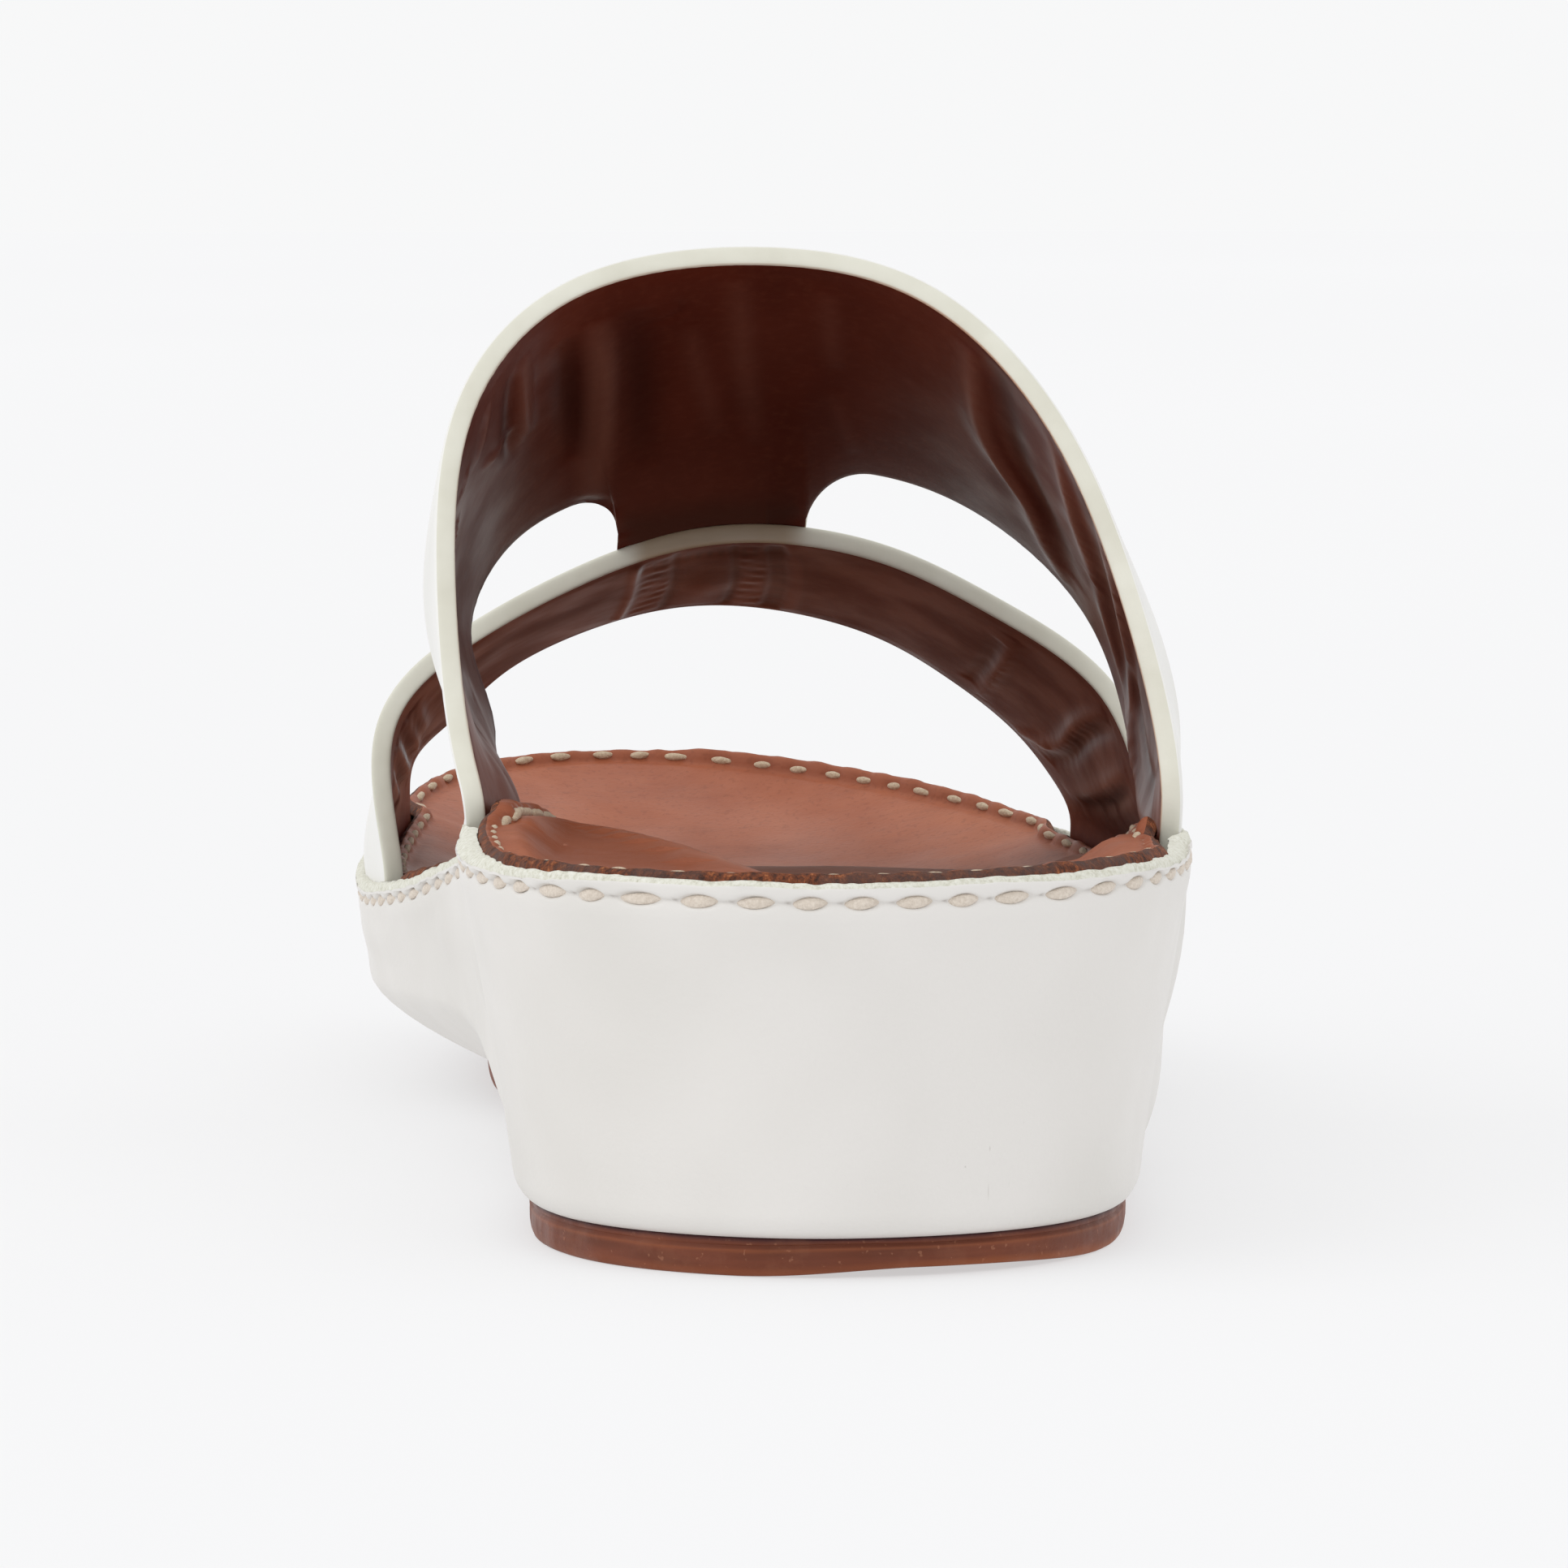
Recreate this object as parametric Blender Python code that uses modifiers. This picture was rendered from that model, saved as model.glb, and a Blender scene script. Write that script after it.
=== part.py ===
"""Arabic sandal, right foot: outsole, leather-wrapped wedge, footbed and strap upper.

Metres, +Z up, +Y to the toe, -X to the big toe side.  The sandal stands on its outsole.
Every form is worked out from the named sizes below: the rim outline and its heights carry
the wedge and the footbed, and four strap edges over the instep carry the upper.
"""
import math

import bmesh
import bpy
import numpy as np
from mathutils import Vector

MM = 0.001
GAP = 0.3 * MM               # room between pieces that touch

# Driving sizes
LENGTH = 0.287               # heel rim to toe rim
BALL_WIDTH = 0.1005          # across the rim at the ball
INSTEP_HEIGHT = 0.1058       # floor to the lining at the top of the back strap edge
HEEL_HEIGHT = 0.0413         # floor to the rim seam round the heel
BALL_HEIGHT = 0.025          # floor to the rim seam at the ball
SOLE_THICKNESS = 4.2 * MM
FOOTBED_THICKNESS = 2.4 * MM
STRAP_THICKNESS = 2.4 * MM
TOE_SPRING = 9.5 * MM        # rise of the outsole at the toe tip
ARCH_RISE = 1.8 * MM         # rise of the outsole under the waist
ARCH_TUCK = 1.6 * MM         # footbed's edge further in at the inner waist
HEEL_WEAR = 0.9 * MM         # worn off the back edge of the outsole, towards the outer side
WEAR_ACROSS = (-0.24, 0.16)  # across / HALF_BALL: wear starts, is full
WEAR_ALONG = (0.030, 0.105)  # along / LENGTH: wear is full, ends
SOLE_ROUND = 0.5 * MM        # rounding of the outsole's lower edge
SPRING_START = 0.70          # along / LENGTH, where the toe spring begins
SPRING_CURVE = 1.6           # how softly it begins
ARCH_SPAN = (0.30, 0.42, 0.46, 0.58)   # along / LENGTH: arch starts, is full, falls, ends

HALF_BALL = BALL_WIDTH / 2
SEAM_DROP = HEEL_HEIGHT - BALL_HEIGHT

# Rim lip: white wrap leather outside, footbed leather inside, strap legs between them
WRAP_LIP_OUTER = 0.3 * MM    # how far the lip stands out past the seam line
WRAP_LIP_INNER = 0.6 * MM    # inset of its inner face from the seam line
LIP_HEIGHT = 2.3 * MM        # wrap lip above the seam line
FOOTBED_LIP_RISE = 0.8 * MM  # footbed lip above the wrap lip
LEG_LIP_RISE = 2.0 * MM      # more of it where a strap leg holds it upright
FOOTBED_LIP = 1.7 * MM       # thickness of the footbed lip
BED_START = 0.45 * MM        # foot of that lip above the seam line
SLOT_DEPTH = 4.0 * MM        # strap leg below the seam line
LEG_GAP = 0.45 * MM          # room on each side of a strap leg in its slot
LEG_MARGIN = 4.0 * MM        # slot past each edge of a leg
LEG_EASE = 7.0 * MM          # length over which the lips part
LEG_FLARE = 0.4 * MM         # strap leg leaning out over the lip
INSTEP_BARREL = 2.2 * MM     # legs of the instep strap curving out between their edges

# Rim outline, heel back round the inner side to the toe and home along the outer side
# name, along / LENGTH, across / HALF_BALL
RIM_POINTS = (
    ("heel_back", 0.000, -0.03),
    ("heel_inner_corner", 0.050, -0.598),
    ("heel_inner", 0.175, -0.800),
    ("waist_inner", 0.420, -0.748),
    ("ball_inner", 0.640, -0.977),
    ("toe_joint_inner", 0.843, -0.932),
    ("toe_inner_corner", 0.960, -0.700),
    ("toe_tip", 1.000, -0.270),
    ("toe_outer_corner", 0.932, 0.420),
    ("toe_joint_outer", 0.796, 0.880),
    ("ball_outer", 0.620, 1.005),
    ("waist_outer", 0.390, 0.890),
    ("heel_outer", 0.190, 0.818),
    ("heel_outer_corner", 0.056, 0.592),
)

# Heights along the sandal, as parts of SEAM_DROP above BALL_HEIGHT
# along / LENGTH, seam inner side, seam outer side, middle of the footbed
SEAM_INNER, SEAM_OUTER, BED_MIDDLE = 1, 2, 3
RIM_HEIGHTS = (
    (0.000, 0.98, 0.98, 0.80),
    (0.100, 0.99, 1.01, 0.76),
    (0.280, 0.97, 0.93, 0.72),
    (0.385, 0.74, 0.72, 0.44),
    (0.470, 0.47, 0.44, 0.16),
    (0.560, 0.18, 0.17, -0.08),
    (0.650, 0.01, 0.01, -0.20),
    (0.740, 0.03, 0.03, -0.18),
    (0.840, 0.19, 0.18, -0.02),
    (0.940, 0.42, 0.37, 0.17),
    (1.000, 0.52, 0.49, 0.28),
)

# Wall of the wedge, in millimetres
# along / LENGTH, inset of the outsole, width and height of the wall's foot, share of it that
# slopes straight up from the outsole instead of rounding
SOLE_INSET, FOOT_WIDTH, FOOT_HEIGHT, FOOT_SLOPE = 1, 2, 3, 4
WALL_SHAPE = (
    (0.00, 8.0, 2.4, 3.2, 0.00),
    (0.26, 8.0, 3.0, 3.8, 0.05),
    (0.40, 9.7, 8.2, 6.4, 0.20),
    (0.52, 14.8, 12.4, 11.0, 0.72),
    (0.65, 16.8, 15.5, 10.6, 0.57),
    (0.84, 14.7, 13.3, 10.3, 0.57),
    (1.00, 11.5, 9.8, 10.0, 0.50),
)

WALL_CURVE = 0.9             # below 1 the wall leans in most just under the seam
HEEL_FULLER = 0.6 * MM       # outer side of the heel, where the outsole reaches further out

# Strap edges on the lining side.  along / LENGTH at the inner base, the crown and the outer
# base, then (across / HALF_BALL, height / INSTEP_HEIGHT) over the foot, inner leg to outer leg
STRAP_EDGES = {
    "instep_back": (0.258, 0.404, 0.244, (
        (-0.768, 0.500), (-0.797, 0.690), (-0.730, 0.860), (-0.490, 0.968), (-0.070, 1.000),
        (0.290, 0.962), (0.555, 0.838), (0.697, 0.682), (0.774, 0.520))),
    "instep_front": (0.488, 0.578, 0.474, (
        (-0.682, 0.462), (-0.736, 0.562), (-0.668, 0.652), (-0.490, 0.712), (-0.090, 0.750),
        (0.275, 0.745), (0.537, 0.692), (0.752, 0.588), (0.836, 0.460))),
    "toe_back": (0.618, 0.613, 0.537, (
        (-0.927, 0.392), (-0.902, 0.462), (-0.785, 0.524), (-0.468, 0.611), (-0.119, 0.661),
        (0.257, 0.643), (0.547, 0.580), (0.808, 0.488), (0.895, 0.380))),
    "toe_front": (0.843, 0.746, 0.794, (
        (-0.846, 0.372), (-0.746, 0.424), (-0.617, 0.485), (-0.368, 0.545), (-0.080, 0.569),
        (0.281, 0.545), (0.498, 0.484), (0.677, 0.413), (0.786, 0.350))),
}

# Bridge from the instep strap over the toe strap
BRIDGE_INNER = -18.5 * MM    # its sides, across
BRIDGE_OUTER = 4.8 * MM
BRIDGE_FILLET_INNER = 3.4 * MM
BRIDGE_FILLET_OUTER = 4.6 * MM
TAB_SINK = 0.25 * MM         # depth that the bridge is pressed into the toe strap
TAB_SHORT = 3.0 * MM         # its end behind the front edge of the toe strap

# Fineness
RIM_COUNT = 92
LEG_COLUMNS_INNER = 16
BRIDGE_COLUMNS = 8
LEG_COLUMNS_OUTER = 20
INSTEP_ROWS = 10
TAB_ROWS = 7
TOE_COLUMNS = 36
TOE_ROWS = 8


# ---------------------------------------------------------------- curves and tables

def smooth_curve(points, count, closed=False):
    """Even samples along the smooth cubic curve through the points."""
    knots = np.array(points, dtype=float)
    if closed:
        knots = np.vstack([knots, knots[:1]])
    number = len(knots) - 1
    chord = np.linalg.norm(np.diff(knots, axis=0), axis=1) ** 0.5
    size = number if closed else number + 1
    matrix = np.zeros((size, size))
    right = np.zeros((size, knots.shape[1]))
    for i in range(size):
        if not closed and i in (0, number):
            near = 0 if i == 0 else number - 1
            other = 1 if i == 0 else number - 1
            matrix[i, i] = 2
            matrix[i, other] = 1
            right[i] = 3 * (knots[near + 1] - knots[near]) / chord[near]
            continue
        before, after = chord[i - 1], chord[i % number]
        matrix[i, (i - 1) % size] += after
        matrix[i, i] += 2 * (before + after)
        matrix[i, (i + 1) % size] += before
        step_before = knots[i] - (knots[i - 1] if i else knots[number - 1])
        step_after = knots[i + 1] - knots[i]
        right[i] = 3 * (after * step_before / before + before * step_after / after)
    slope = np.linalg.solve(matrix, right)
    if closed:
        slope = np.vstack([slope, slope[:1]])
    dense = []
    t = np.linspace(0, 1, 60, endpoint=False)[:, None]
    for i in range(number):
        h = chord[i]
        dense.append((2 * t**3 - 3 * t**2 + 1) * knots[i] + (t**3 - 2 * t**2 + t) * h * slope[i]
                     + (3 * t**2 - 2 * t**3) * knots[i + 1] + (t**3 - t**2) * h * slope[i + 1])
    dense = np.vstack(dense + [knots[-1:]])
    length = np.r_[0, np.cumsum(np.linalg.norm(np.diff(dense, axis=0), axis=1))]
    wanted = np.linspace(0, length[-1], count + 1)
    if closed:
        wanted = wanted[:-1]
    return np.stack([np.interp(wanted, length, dense[:, k]) for k in range(dense.shape[1])], axis=1)


def table_value(rows, column, at):
    """Smooth value of a table's column at a place given in its first column."""
    x = np.array([row[0] for row in rows])
    y = np.array([row[column] for row in rows])
    at = np.clip(at, x[0], x[-1])
    slope = np.gradient(y, x)
    i = np.clip(np.searchsorted(x, at, side="right") - 1, 0, len(x) - 2)
    h = x[i + 1] - x[i]
    t = (at - x[i]) / h
    return ((2 * t**3 - 3 * t**2 + 1) * y[i] + (t**3 - 2 * t**2 + t) * h * slope[i]
            + (3 * t**2 - 2 * t**3) * y[i + 1] + (t**3 - t**2) * h * slope[i + 1])


def smooth_step(low, high, value):
    t = np.clip((np.asarray(value, dtype=float) - low) / (high - low), 0, 1)
    return t * t * (3 - 2 * t)


# ---------------------------------------------------------------- heights of the sole

def seam_height(x, y):
    """Height of the rim seam; the inner side stays up longer at the arch."""
    inner = table_value(RIM_HEIGHTS, SEAM_INNER, y / LENGTH)
    outer = table_value(RIM_HEIGHTS, SEAM_OUTER, y / LENGTH)
    share = smooth_step(-0.6 * HALF_BALL, 0.6 * HALF_BALL, x)
    return BALL_HEIGHT + SEAM_DROP * (inner + (outer - inner) * share)


def footbed_middle(y):
    return BALL_HEIGHT + SEAM_DROP * table_value(RIM_HEIGHTS, BED_MIDDLE, y / LENGTH)


def sole_lift(y):
    """Rise of the outsole: none under heel and ball, a low arch between them, toe spring."""
    along = y / LENGTH
    spring = TOE_SPRING * np.clip((along - SPRING_START) / (1 - SPRING_START), 0, None) ** SPRING_CURVE
    start, full, fall, end = ARCH_SPAN
    return spring + ARCH_RISE * smooth_step(start, full, along) * smooth_step(end, fall, along)


def sole_bottom(ring):
    """Height of the tread, with the wear at the back of the heel."""
    across = ring[:, 0] / HALF_BALL
    along = ring[:, 1] / LENGTH
    wear = smooth_step(*WEAR_ACROSS, across) * (1 - smooth_step(*WEAR_ALONG, along))
    return sole_lift(ring[:, 1]) + HEEL_WEAR * wear


def sole_top(ring):
    return sole_lift(ring[:, 1]) + SOLE_THICKNESS


def wall_size(column, y):
    return table_value(WALL_SHAPE, column, y / LENGTH) * MM


# ---------------------------------------------------------------- rim

def strap_reach(edge, inner_side):
    """Where an edge of a strap enters the rim, along."""
    return STRAP_EDGES[edge][0 if inner_side else 2] * LENGTH


def leg_share(x, y):
    """1 where a strap leg passes down inside the rim, 0 away from the legs."""
    share = np.zeros_like(y)
    for back, front in (("instep_back", "instep_front"), ("toe_back", "toe_front")):
        for inner_side in (True, False):
            start, stop = strap_reach(back, inner_side), strap_reach(front, inner_side)
            window = smooth_step(start - LEG_EASE - LEG_MARGIN, start - LEG_MARGIN, y)
            window = window * smooth_step(stop + LEG_EASE + LEG_MARGIN, stop + LEG_MARGIN, y)
            side = x < 0 if inner_side else x >= 0
            share = np.maximum(share, np.where(side, window, 0))
    return share


class Rim:
    """The seam line all round, with what the pieces share at each of its points."""

    def __init__(self, count):
        points = [(across * HALF_BALL, along * LENGTH) for _, along, across in RIM_POINTS]
        fine = smooth_curve(points, 1600, closed=True)
        fine = np.roll(fine, -int(np.argmin(fine[:, 1])), axis=0)
        toe = int(np.argmax(fine[:, 1]))
        inner_side = fine[:toe + 1]
        outer_side = np.vstack([fine[toe:], fine[:1]])[::-1]
        half = count // 2
        stations = inner_side[np.linspace(0, toe, half + 1).round().astype(int), 1]
        inner_x = np.interp(stations, inner_side[:, 1], inner_side[:, 0])
        outer_x = np.interp(stations, outer_side[:, 1], outer_side[:, 0])
        self.xy = np.vstack([np.column_stack([inner_x, stations]),
                             np.column_stack([outer_x, stations])[half - 1:0:-1]])
        tangent = np.roll(self.xy, -1, axis=0) - np.roll(self.xy, 1, axis=0)
        tangent /= np.linalg.norm(tangent, axis=1)[:, None]
        self.inward = np.stack([tangent[:, 1], -tangent[:, 0]], axis=1)
        self.x, self.y = self.xy.T
        self.seam = seam_height(self.x, self.y)
        self.leg = leg_share(self.x, self.y)
        start, full, fall, end = ARCH_SPAN
        along = self.y / LENGTH
        waist = smooth_step(start - 0.03, full - 0.05, along) * smooth_step(end - 0.04, fall, along)
        self.arch = np.where(self.x < 0, waist, 0)
        strap_room = STRAP_THICKNESS + 2 * LEG_GAP - GAP
        self.footbed_inset = WRAP_LIP_INNER + GAP + self.leg * strap_room + self.arch * ARCH_TUCK
        self.slot = self.seam - SLOT_DEPTH * self.leg
        middle = np.clip(self.y, 0.14 * LENGTH, 0.84 * LENGTH)
        self.spine = np.stack([np.interp(middle, (0, LENGTH), (0.02 * HALF_BALL, -0.08 * HALF_BALL)),
                               middle], axis=1)

    def inset(self, amount):
        return self.xy + self.inward * np.broadcast_to(amount, self.y.shape)[:, None]

    def bowl(self, share, lower):
        """Ring of the footbed's top, from its lip (share 0) in to the spine (share 1)."""
        edge = self.inset(self.footbed_inset + FOOTBED_LIP)
        ring = edge + (self.spine - edge) * share
        rim_height = self.seam + BED_START
        fall = np.minimum(share / 0.85, 1)
        curve = 1 - (1 - fall) ** 2.2
        shelf = smooth_step(0.25, 0.95, fall)
        curve = curve + (shelf - curve) * self.arch
        height = rim_height + (footbed_middle(ring[:, 1]) - rim_height) * curve
        return np.column_stack([ring, height - lower])

    def outward_bowl(self, inset, lower):
        """The bowl's edge height carried out to a given inset."""
        return np.column_stack([self.inset(inset), self.seam + BED_START - lower])


BOWL_SHARES = (0.0, 0.1, 0.24, 0.42, 0.66, 1.0)


# ---------------------------------------------------------------- solids from rings

def material(name, colour, roughness):
    made = bpy.data.materials.new(name)
    made.use_nodes = True
    shader = made.node_tree.nodes["Principled BSDF"]
    shader.inputs["Base Color"].default_value = (*colour, 1)
    shader.inputs["Roughness"].default_value = roughness
    shader.inputs["Metallic"].default_value = 0
    return made


def add_object(name, mesh, collection, look, place):
    mesh.materials.append(look)
    mesh.shade_smooth()
    mesh.set_sharp_from_angle(angle=math.radians(40))
    made = bpy.data.objects.new(name, mesh)
    made.location = place
    collection.objects.link(made)
    return made


def split_quad(bm, a, b, c, d):
    """Two triangles, cut along the shorter diagonal so that facing surfaces match."""
    if (a.co - c.co).length <= (b.co - d.co).length:
        bm.faces.new((a, b, c))
        bm.faces.new((a, c, d))
    else:
        bm.faces.new((a, b, d))
        bm.faces.new((b, c, d))


def close_on_spine(bm, ring, points):
    """Close a ring with faces from each side to a line of points along its middle."""
    count = len(ring)
    half = count // 2
    spine = []
    for i in range(half + 1):
        same = spine and (Vector(points[i]) - spine[-1].co).length < 0.01 * MM
        spine.append(spine[-1] if same else bm.verts.new(points[i]))
    for i in range(half):
        for near, far in ((i, i + 1), ((count - i) % count, count - i - 1)):
            if spine[i + 1] is spine[i]:
                bm.faces.new((ring[near], ring[far], spine[i]))
            else:
                split_quad(bm, ring[near], ring[far], spine[i + 1], spine[i])


def ring_solid(name, rings):
    """Closed mesh through a run of rings; the first and last are drawn in to a line."""
    mesh = bpy.data.meshes.new(name)
    bm = bmesh.new()
    made = [[bm.verts.new(point) for point in ring] for ring in rings[1:-1]]
    for lower, upper in zip(made, made[1:]):
        for i in range(len(lower)):
            j = (i + 1) % len(lower)
            split_quad(bm, lower[i], lower[j], upper[j], upper[i])
    close_on_spine(bm, made[0], rings[0])
    close_on_spine(bm, made[-1], rings[-1])
    bmesh.ops.recalc_face_normals(bm, faces=bm.faces)
    bm.to_mesh(mesh)
    bm.free()
    return mesh


def grid_surface(name, grid):
    """Open mesh over a list of rows; None leaves a corner of the grid out."""
    mesh = bpy.data.meshes.new(name)
    bm = bmesh.new()
    made = [[None if point is None else bm.verts.new(point) for point in row] for row in grid]
    for near, far in zip(made, made[1:]):
        for i in range(len(near) - 1):
            corners = (near[i], near[i + 1], far[i + 1], far[i])
            if None not in corners:
                bm.faces.new(corners)
    bm.normal_update()
    bm.to_mesh(mesh)
    bm.free()
    return mesh


# ---------------------------------------------------------------- outsole, wedge, footbed

def sole_inset(rim):
    """Inset of the outsole's edge from the seam line, all round."""
    outer_side = smooth_step(0, 0.5, rim.x / HALF_BALL)
    at_heel = 1 - smooth_step(0.30, 0.45, rim.y / LENGTH)
    return wall_size(SOLE_INSET, rim.y) - HEEL_FULLER * outer_side * at_heel


def outsole_mesh(rim):
    edge = rim.inset(sole_inset(rim))
    tuck = rim.inset(sole_inset(rim) + SOLE_ROUND)
    shares = (1, 0.55, 0.25, 0.1, 0)
    tread = [tuck + (rim.spine - tuck) * share for share in shares]
    rings = [np.column_stack([ring, sole_bottom(ring)]) for ring in tread]
    rings.append(np.column_stack([edge, sole_bottom(edge) + SOLE_ROUND]))
    rings.append(np.column_stack([edge, sole_top(edge)]))
    rings.append(np.column_stack([rim.spine, sole_top(rim.spine)]))
    return ring_solid("outsole", rings)


def wedge_mesh(rim):
    """White leather over the wedge: rounded foot, leaning wall, lip, strap slots and bowl."""
    total = sole_inset(rim)
    round_width = wall_size(FOOT_WIDTH, rim.y)
    round_height = wall_size(FOOT_HEIGHT, rim.y)
    slope = table_value(WALL_SHAPE, FOOT_SLOPE, rim.y / LENGTH)
    floor = sole_top(rim.inset(total)) + GAP
    rings = [np.column_stack([rim.spine, sole_top(rim.spine) + GAP])]
    for turn in np.radians((0, 25, 48, 70, 90)):
        out = math.sin(turn)
        up = slope * out + (1 - slope) * (1 - math.cos(turn))
        rings.append(np.column_stack([rim.inset(total - round_width * out), floor + round_height * up]))
    foot = floor + round_height
    for up in (0.3, 0.6, 0.85, 1.0):
        fuller = 0.75 * rim.leg * smooth_step(0.3, 0.85, up)
        inset = (total - round_width) * (1 - up) ** WALL_CURVE * (1 - fuller)
        rings.append(np.column_stack([rim.inset(inset), foot + (rim.seam - foot) * up]))
    lip_top = rim.seam + LIP_HEIGHT
    bowl_drop = FOOTBED_THICKNESS + GAP
    shelf = rim.outward_bowl(rim.footbed_inset, bowl_drop)
    slot = np.minimum(rim.slot, shelf[:, 2])
    rings.append(np.column_stack([rim.inset(-WRAP_LIP_OUTER), rim.seam + 0.35 * LIP_HEIGHT]))
    rings.append(np.column_stack([rim.inset(-WRAP_LIP_OUTER), lip_top]))
    rings.append(np.column_stack([rim.inset(WRAP_LIP_INNER), lip_top]))
    rings.append(np.column_stack([rim.inset(WRAP_LIP_INNER), slot]))
    rings.append(np.column_stack([rim.inset(rim.footbed_inset), slot]))
    rings.append(rim.outward_bowl(rim.footbed_inset + 0.2 * MM, bowl_drop))
    for share in BOWL_SHARES:
        rings.append(rim.bowl(share, bowl_drop))
    return ring_solid("wedge", rings)


def footbed_mesh(rim):
    """Brown leather insole with its edge turned up into a lip."""
    rings = [rim.bowl(share, FOOTBED_THICKNESS) for share in reversed(BOWL_SHARES)]
    outer = rim.footbed_inset
    rings.append(rim.outward_bowl(outer + 0.3 * MM, FOOTBED_THICKNESS))
    rings.append(rim.outward_bowl(outer, FOOTBED_THICKNESS - 0.4 * MM))
    lip_top = rim.seam + LIP_HEIGHT + FOOTBED_LIP_RISE + LEG_LIP_RISE * rim.leg
    rings.append(np.column_stack([rim.inset(outer), lip_top - 0.3 * MM]))
    rings.append(np.column_stack([rim.inset(outer + 0.3 * MM), lip_top]))
    rings.append(np.column_stack([rim.inset(outer + FOOTBED_LIP - 0.5 * MM), lip_top]))
    rings.append(np.column_stack([rim.inset(outer + FOOTBED_LIP - 0.2 * MM), lip_top - 0.5 * MM]))
    for share in BOWL_SHARES:
        rings.append(rim.bowl(share, 0))
    return ring_solid("footbed", rings)


# ---------------------------------------------------------------- upper

class Last:
    """Lining surface over the foot, between two strap edges."""

    def __init__(self, rim, back, front):
        self.rim = rim
        self.back = STRAP_EDGES[back]
        self.front = STRAP_EDGES[front]
        self.barrel = INSTEP_BARREL if back == "instep_back" else 0.0

    def base(self, y, inner_side):
        """Foot and rim entry of a strap leg, standing in its slot."""
        rim = self.rim
        side = np.where((rim.x < 0) == inner_side)[0]
        order = side[np.argsort(rim.y[side])]
        pick = [np.interp(y, rim.y[order], values[order]) for values in
                (rim.x, rim.y, rim.inward[:, 0], rim.inward[:, 1], rim.seam, rim.footbed_inset)]
        x, along, nx, ny, seam, room = pick
        inset = room - LEG_GAP
        above = LIP_HEIGHT + FOOTBED_LIP_RISE + LEG_LIP_RISE + GAP
        levels = ((2 * GAP - SLOT_DEPTH, 0), (0.6 * LIP_HEIGHT, 0), (above, LEG_FLARE))
        return [(x + nx * (inset - out), along + ny * (inset - out), seam + up) for up, out in levels]

    def section(self, share):
        """Points over the foot at a share of the way from back edge to front edge."""
        def mixed(index):
            return self.back[index] + (self.front[index] - self.back[index]) * share

        inner, crown, outer = (mixed(i) * LENGTH for i in range(3))
        leg_in = self.base(inner, True)
        leg_out = self.base(outer, False)
        top = max(up for _, up in self.back[3]) * (1 - share) + max(up for _, up in self.front[3]) * share
        nodes = []
        for (xa, za), (xb, zb) in zip(self.back[3], self.front[3]):
            x = (xa + (xb - xa) * share) * HALF_BALL
            z = (za + (zb - za) * share) * INSTEP_HEIGHT
            inner_side = x < -0.1 * HALF_BALL
            entry = (leg_in if inner_side else leg_out)[-1]
            start = inner if inner_side else outer
            rise = np.clip((z - entry[2]) / (top * INSTEP_HEIGHT - entry[2]), 0, 1)
            x += (1 - rise) * self.rim_swell(share, inner_side)
            on_leg = smooth_step(0.08, 0.36, rise) * (1 - smooth_step(0.45, 0.85, rise))
            x += (-1 if inner_side else 1) * self.barrel * 4 * share * (1 - share) * on_leg
            nodes.append((x, start + (crown - start) * rise, z))
        return leg_in + nodes + leg_out[::-1]

    def rim_swell(self, share, inner_side):
        """How far the rim stands out from a straight line between the two edges."""
        side = 0 if inner_side else 2
        ends = self.back[side] * LENGTH, self.front[side] * LENGTH
        start, stop = (self.base(end, inner_side)[0][0] for end in ends)
        here = self.base(ends[0] + (ends[1] - ends[0]) * share, inner_side)[0][0]
        return here - (start + (stop - start) * share)

    def row(self, share, fractions):
        curve = smooth_curve(self.section(share), 240)
        place = np.linspace(0, 1, len(curve))
        return np.stack([np.interp(fractions, place, curve[:, k]) for k in range(3)], axis=1)


def fraction_at(curve, x):
    """Fraction along a section where it passes a place across, near its crown."""
    place = np.linspace(0, 1, len(curve))
    middle = (place > 0.2) & (place < 0.8)
    return float(np.interp(x, curve[middle, 0], place[middle]))


def fillet_reach(distance, radius):
    """How far a rounded inside corner carries an edge on, at a distance from the corner."""
    if distance >= radius:
        return 0.0
    return radius - math.sqrt(radius**2 - (radius - distance) ** 2)


def surface_normals(grid):
    along = np.gradient(grid, axis=0)
    across = np.gradient(grid, axis=1)
    normal = np.cross(across, along)
    return normal / np.linalg.norm(normal, axis=2)[:, :, None]


def tab_grid(toe, columns_x, end_x):
    """The bridge's lining where it lies on the toe strap, row by row to its rounded end."""
    shares = np.linspace(0, 1, 21)
    fractions = np.linspace(0.12, 0.88, 77)
    surface = np.array([toe.row(share, fractions) for share in shares])
    surface = surface + surface_normals(surface) * (STRAP_THICKNESS - TAB_SINK)
    half = (end_x[1] - end_x[0]) / 2
    centre = (end_x[1] + end_x[0]) / 2
    rows = []
    for step in np.linspace(0, 1, TAB_ROWS + 1):
        row = []
        for x in columns_x:
            profile = np.array([[np.interp(x, line[:, 0], line[:, k]) for k in range(3)]
                                for line in surface])
            corner = 4 * MM * (1 - math.sqrt(max(0, 1 - (abs(x - centre) / half) ** 6 * 0.97)))
            end = profile[-1, 1] - TAB_SHORT - corner
            y = profile[0, 1] + (end - profile[0, 1]) * step
            row.append([np.interp(y, profile[:, 1], profile[:, k]) for k in range(3)])
        rows.append(row)
    return np.array(rows)


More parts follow.
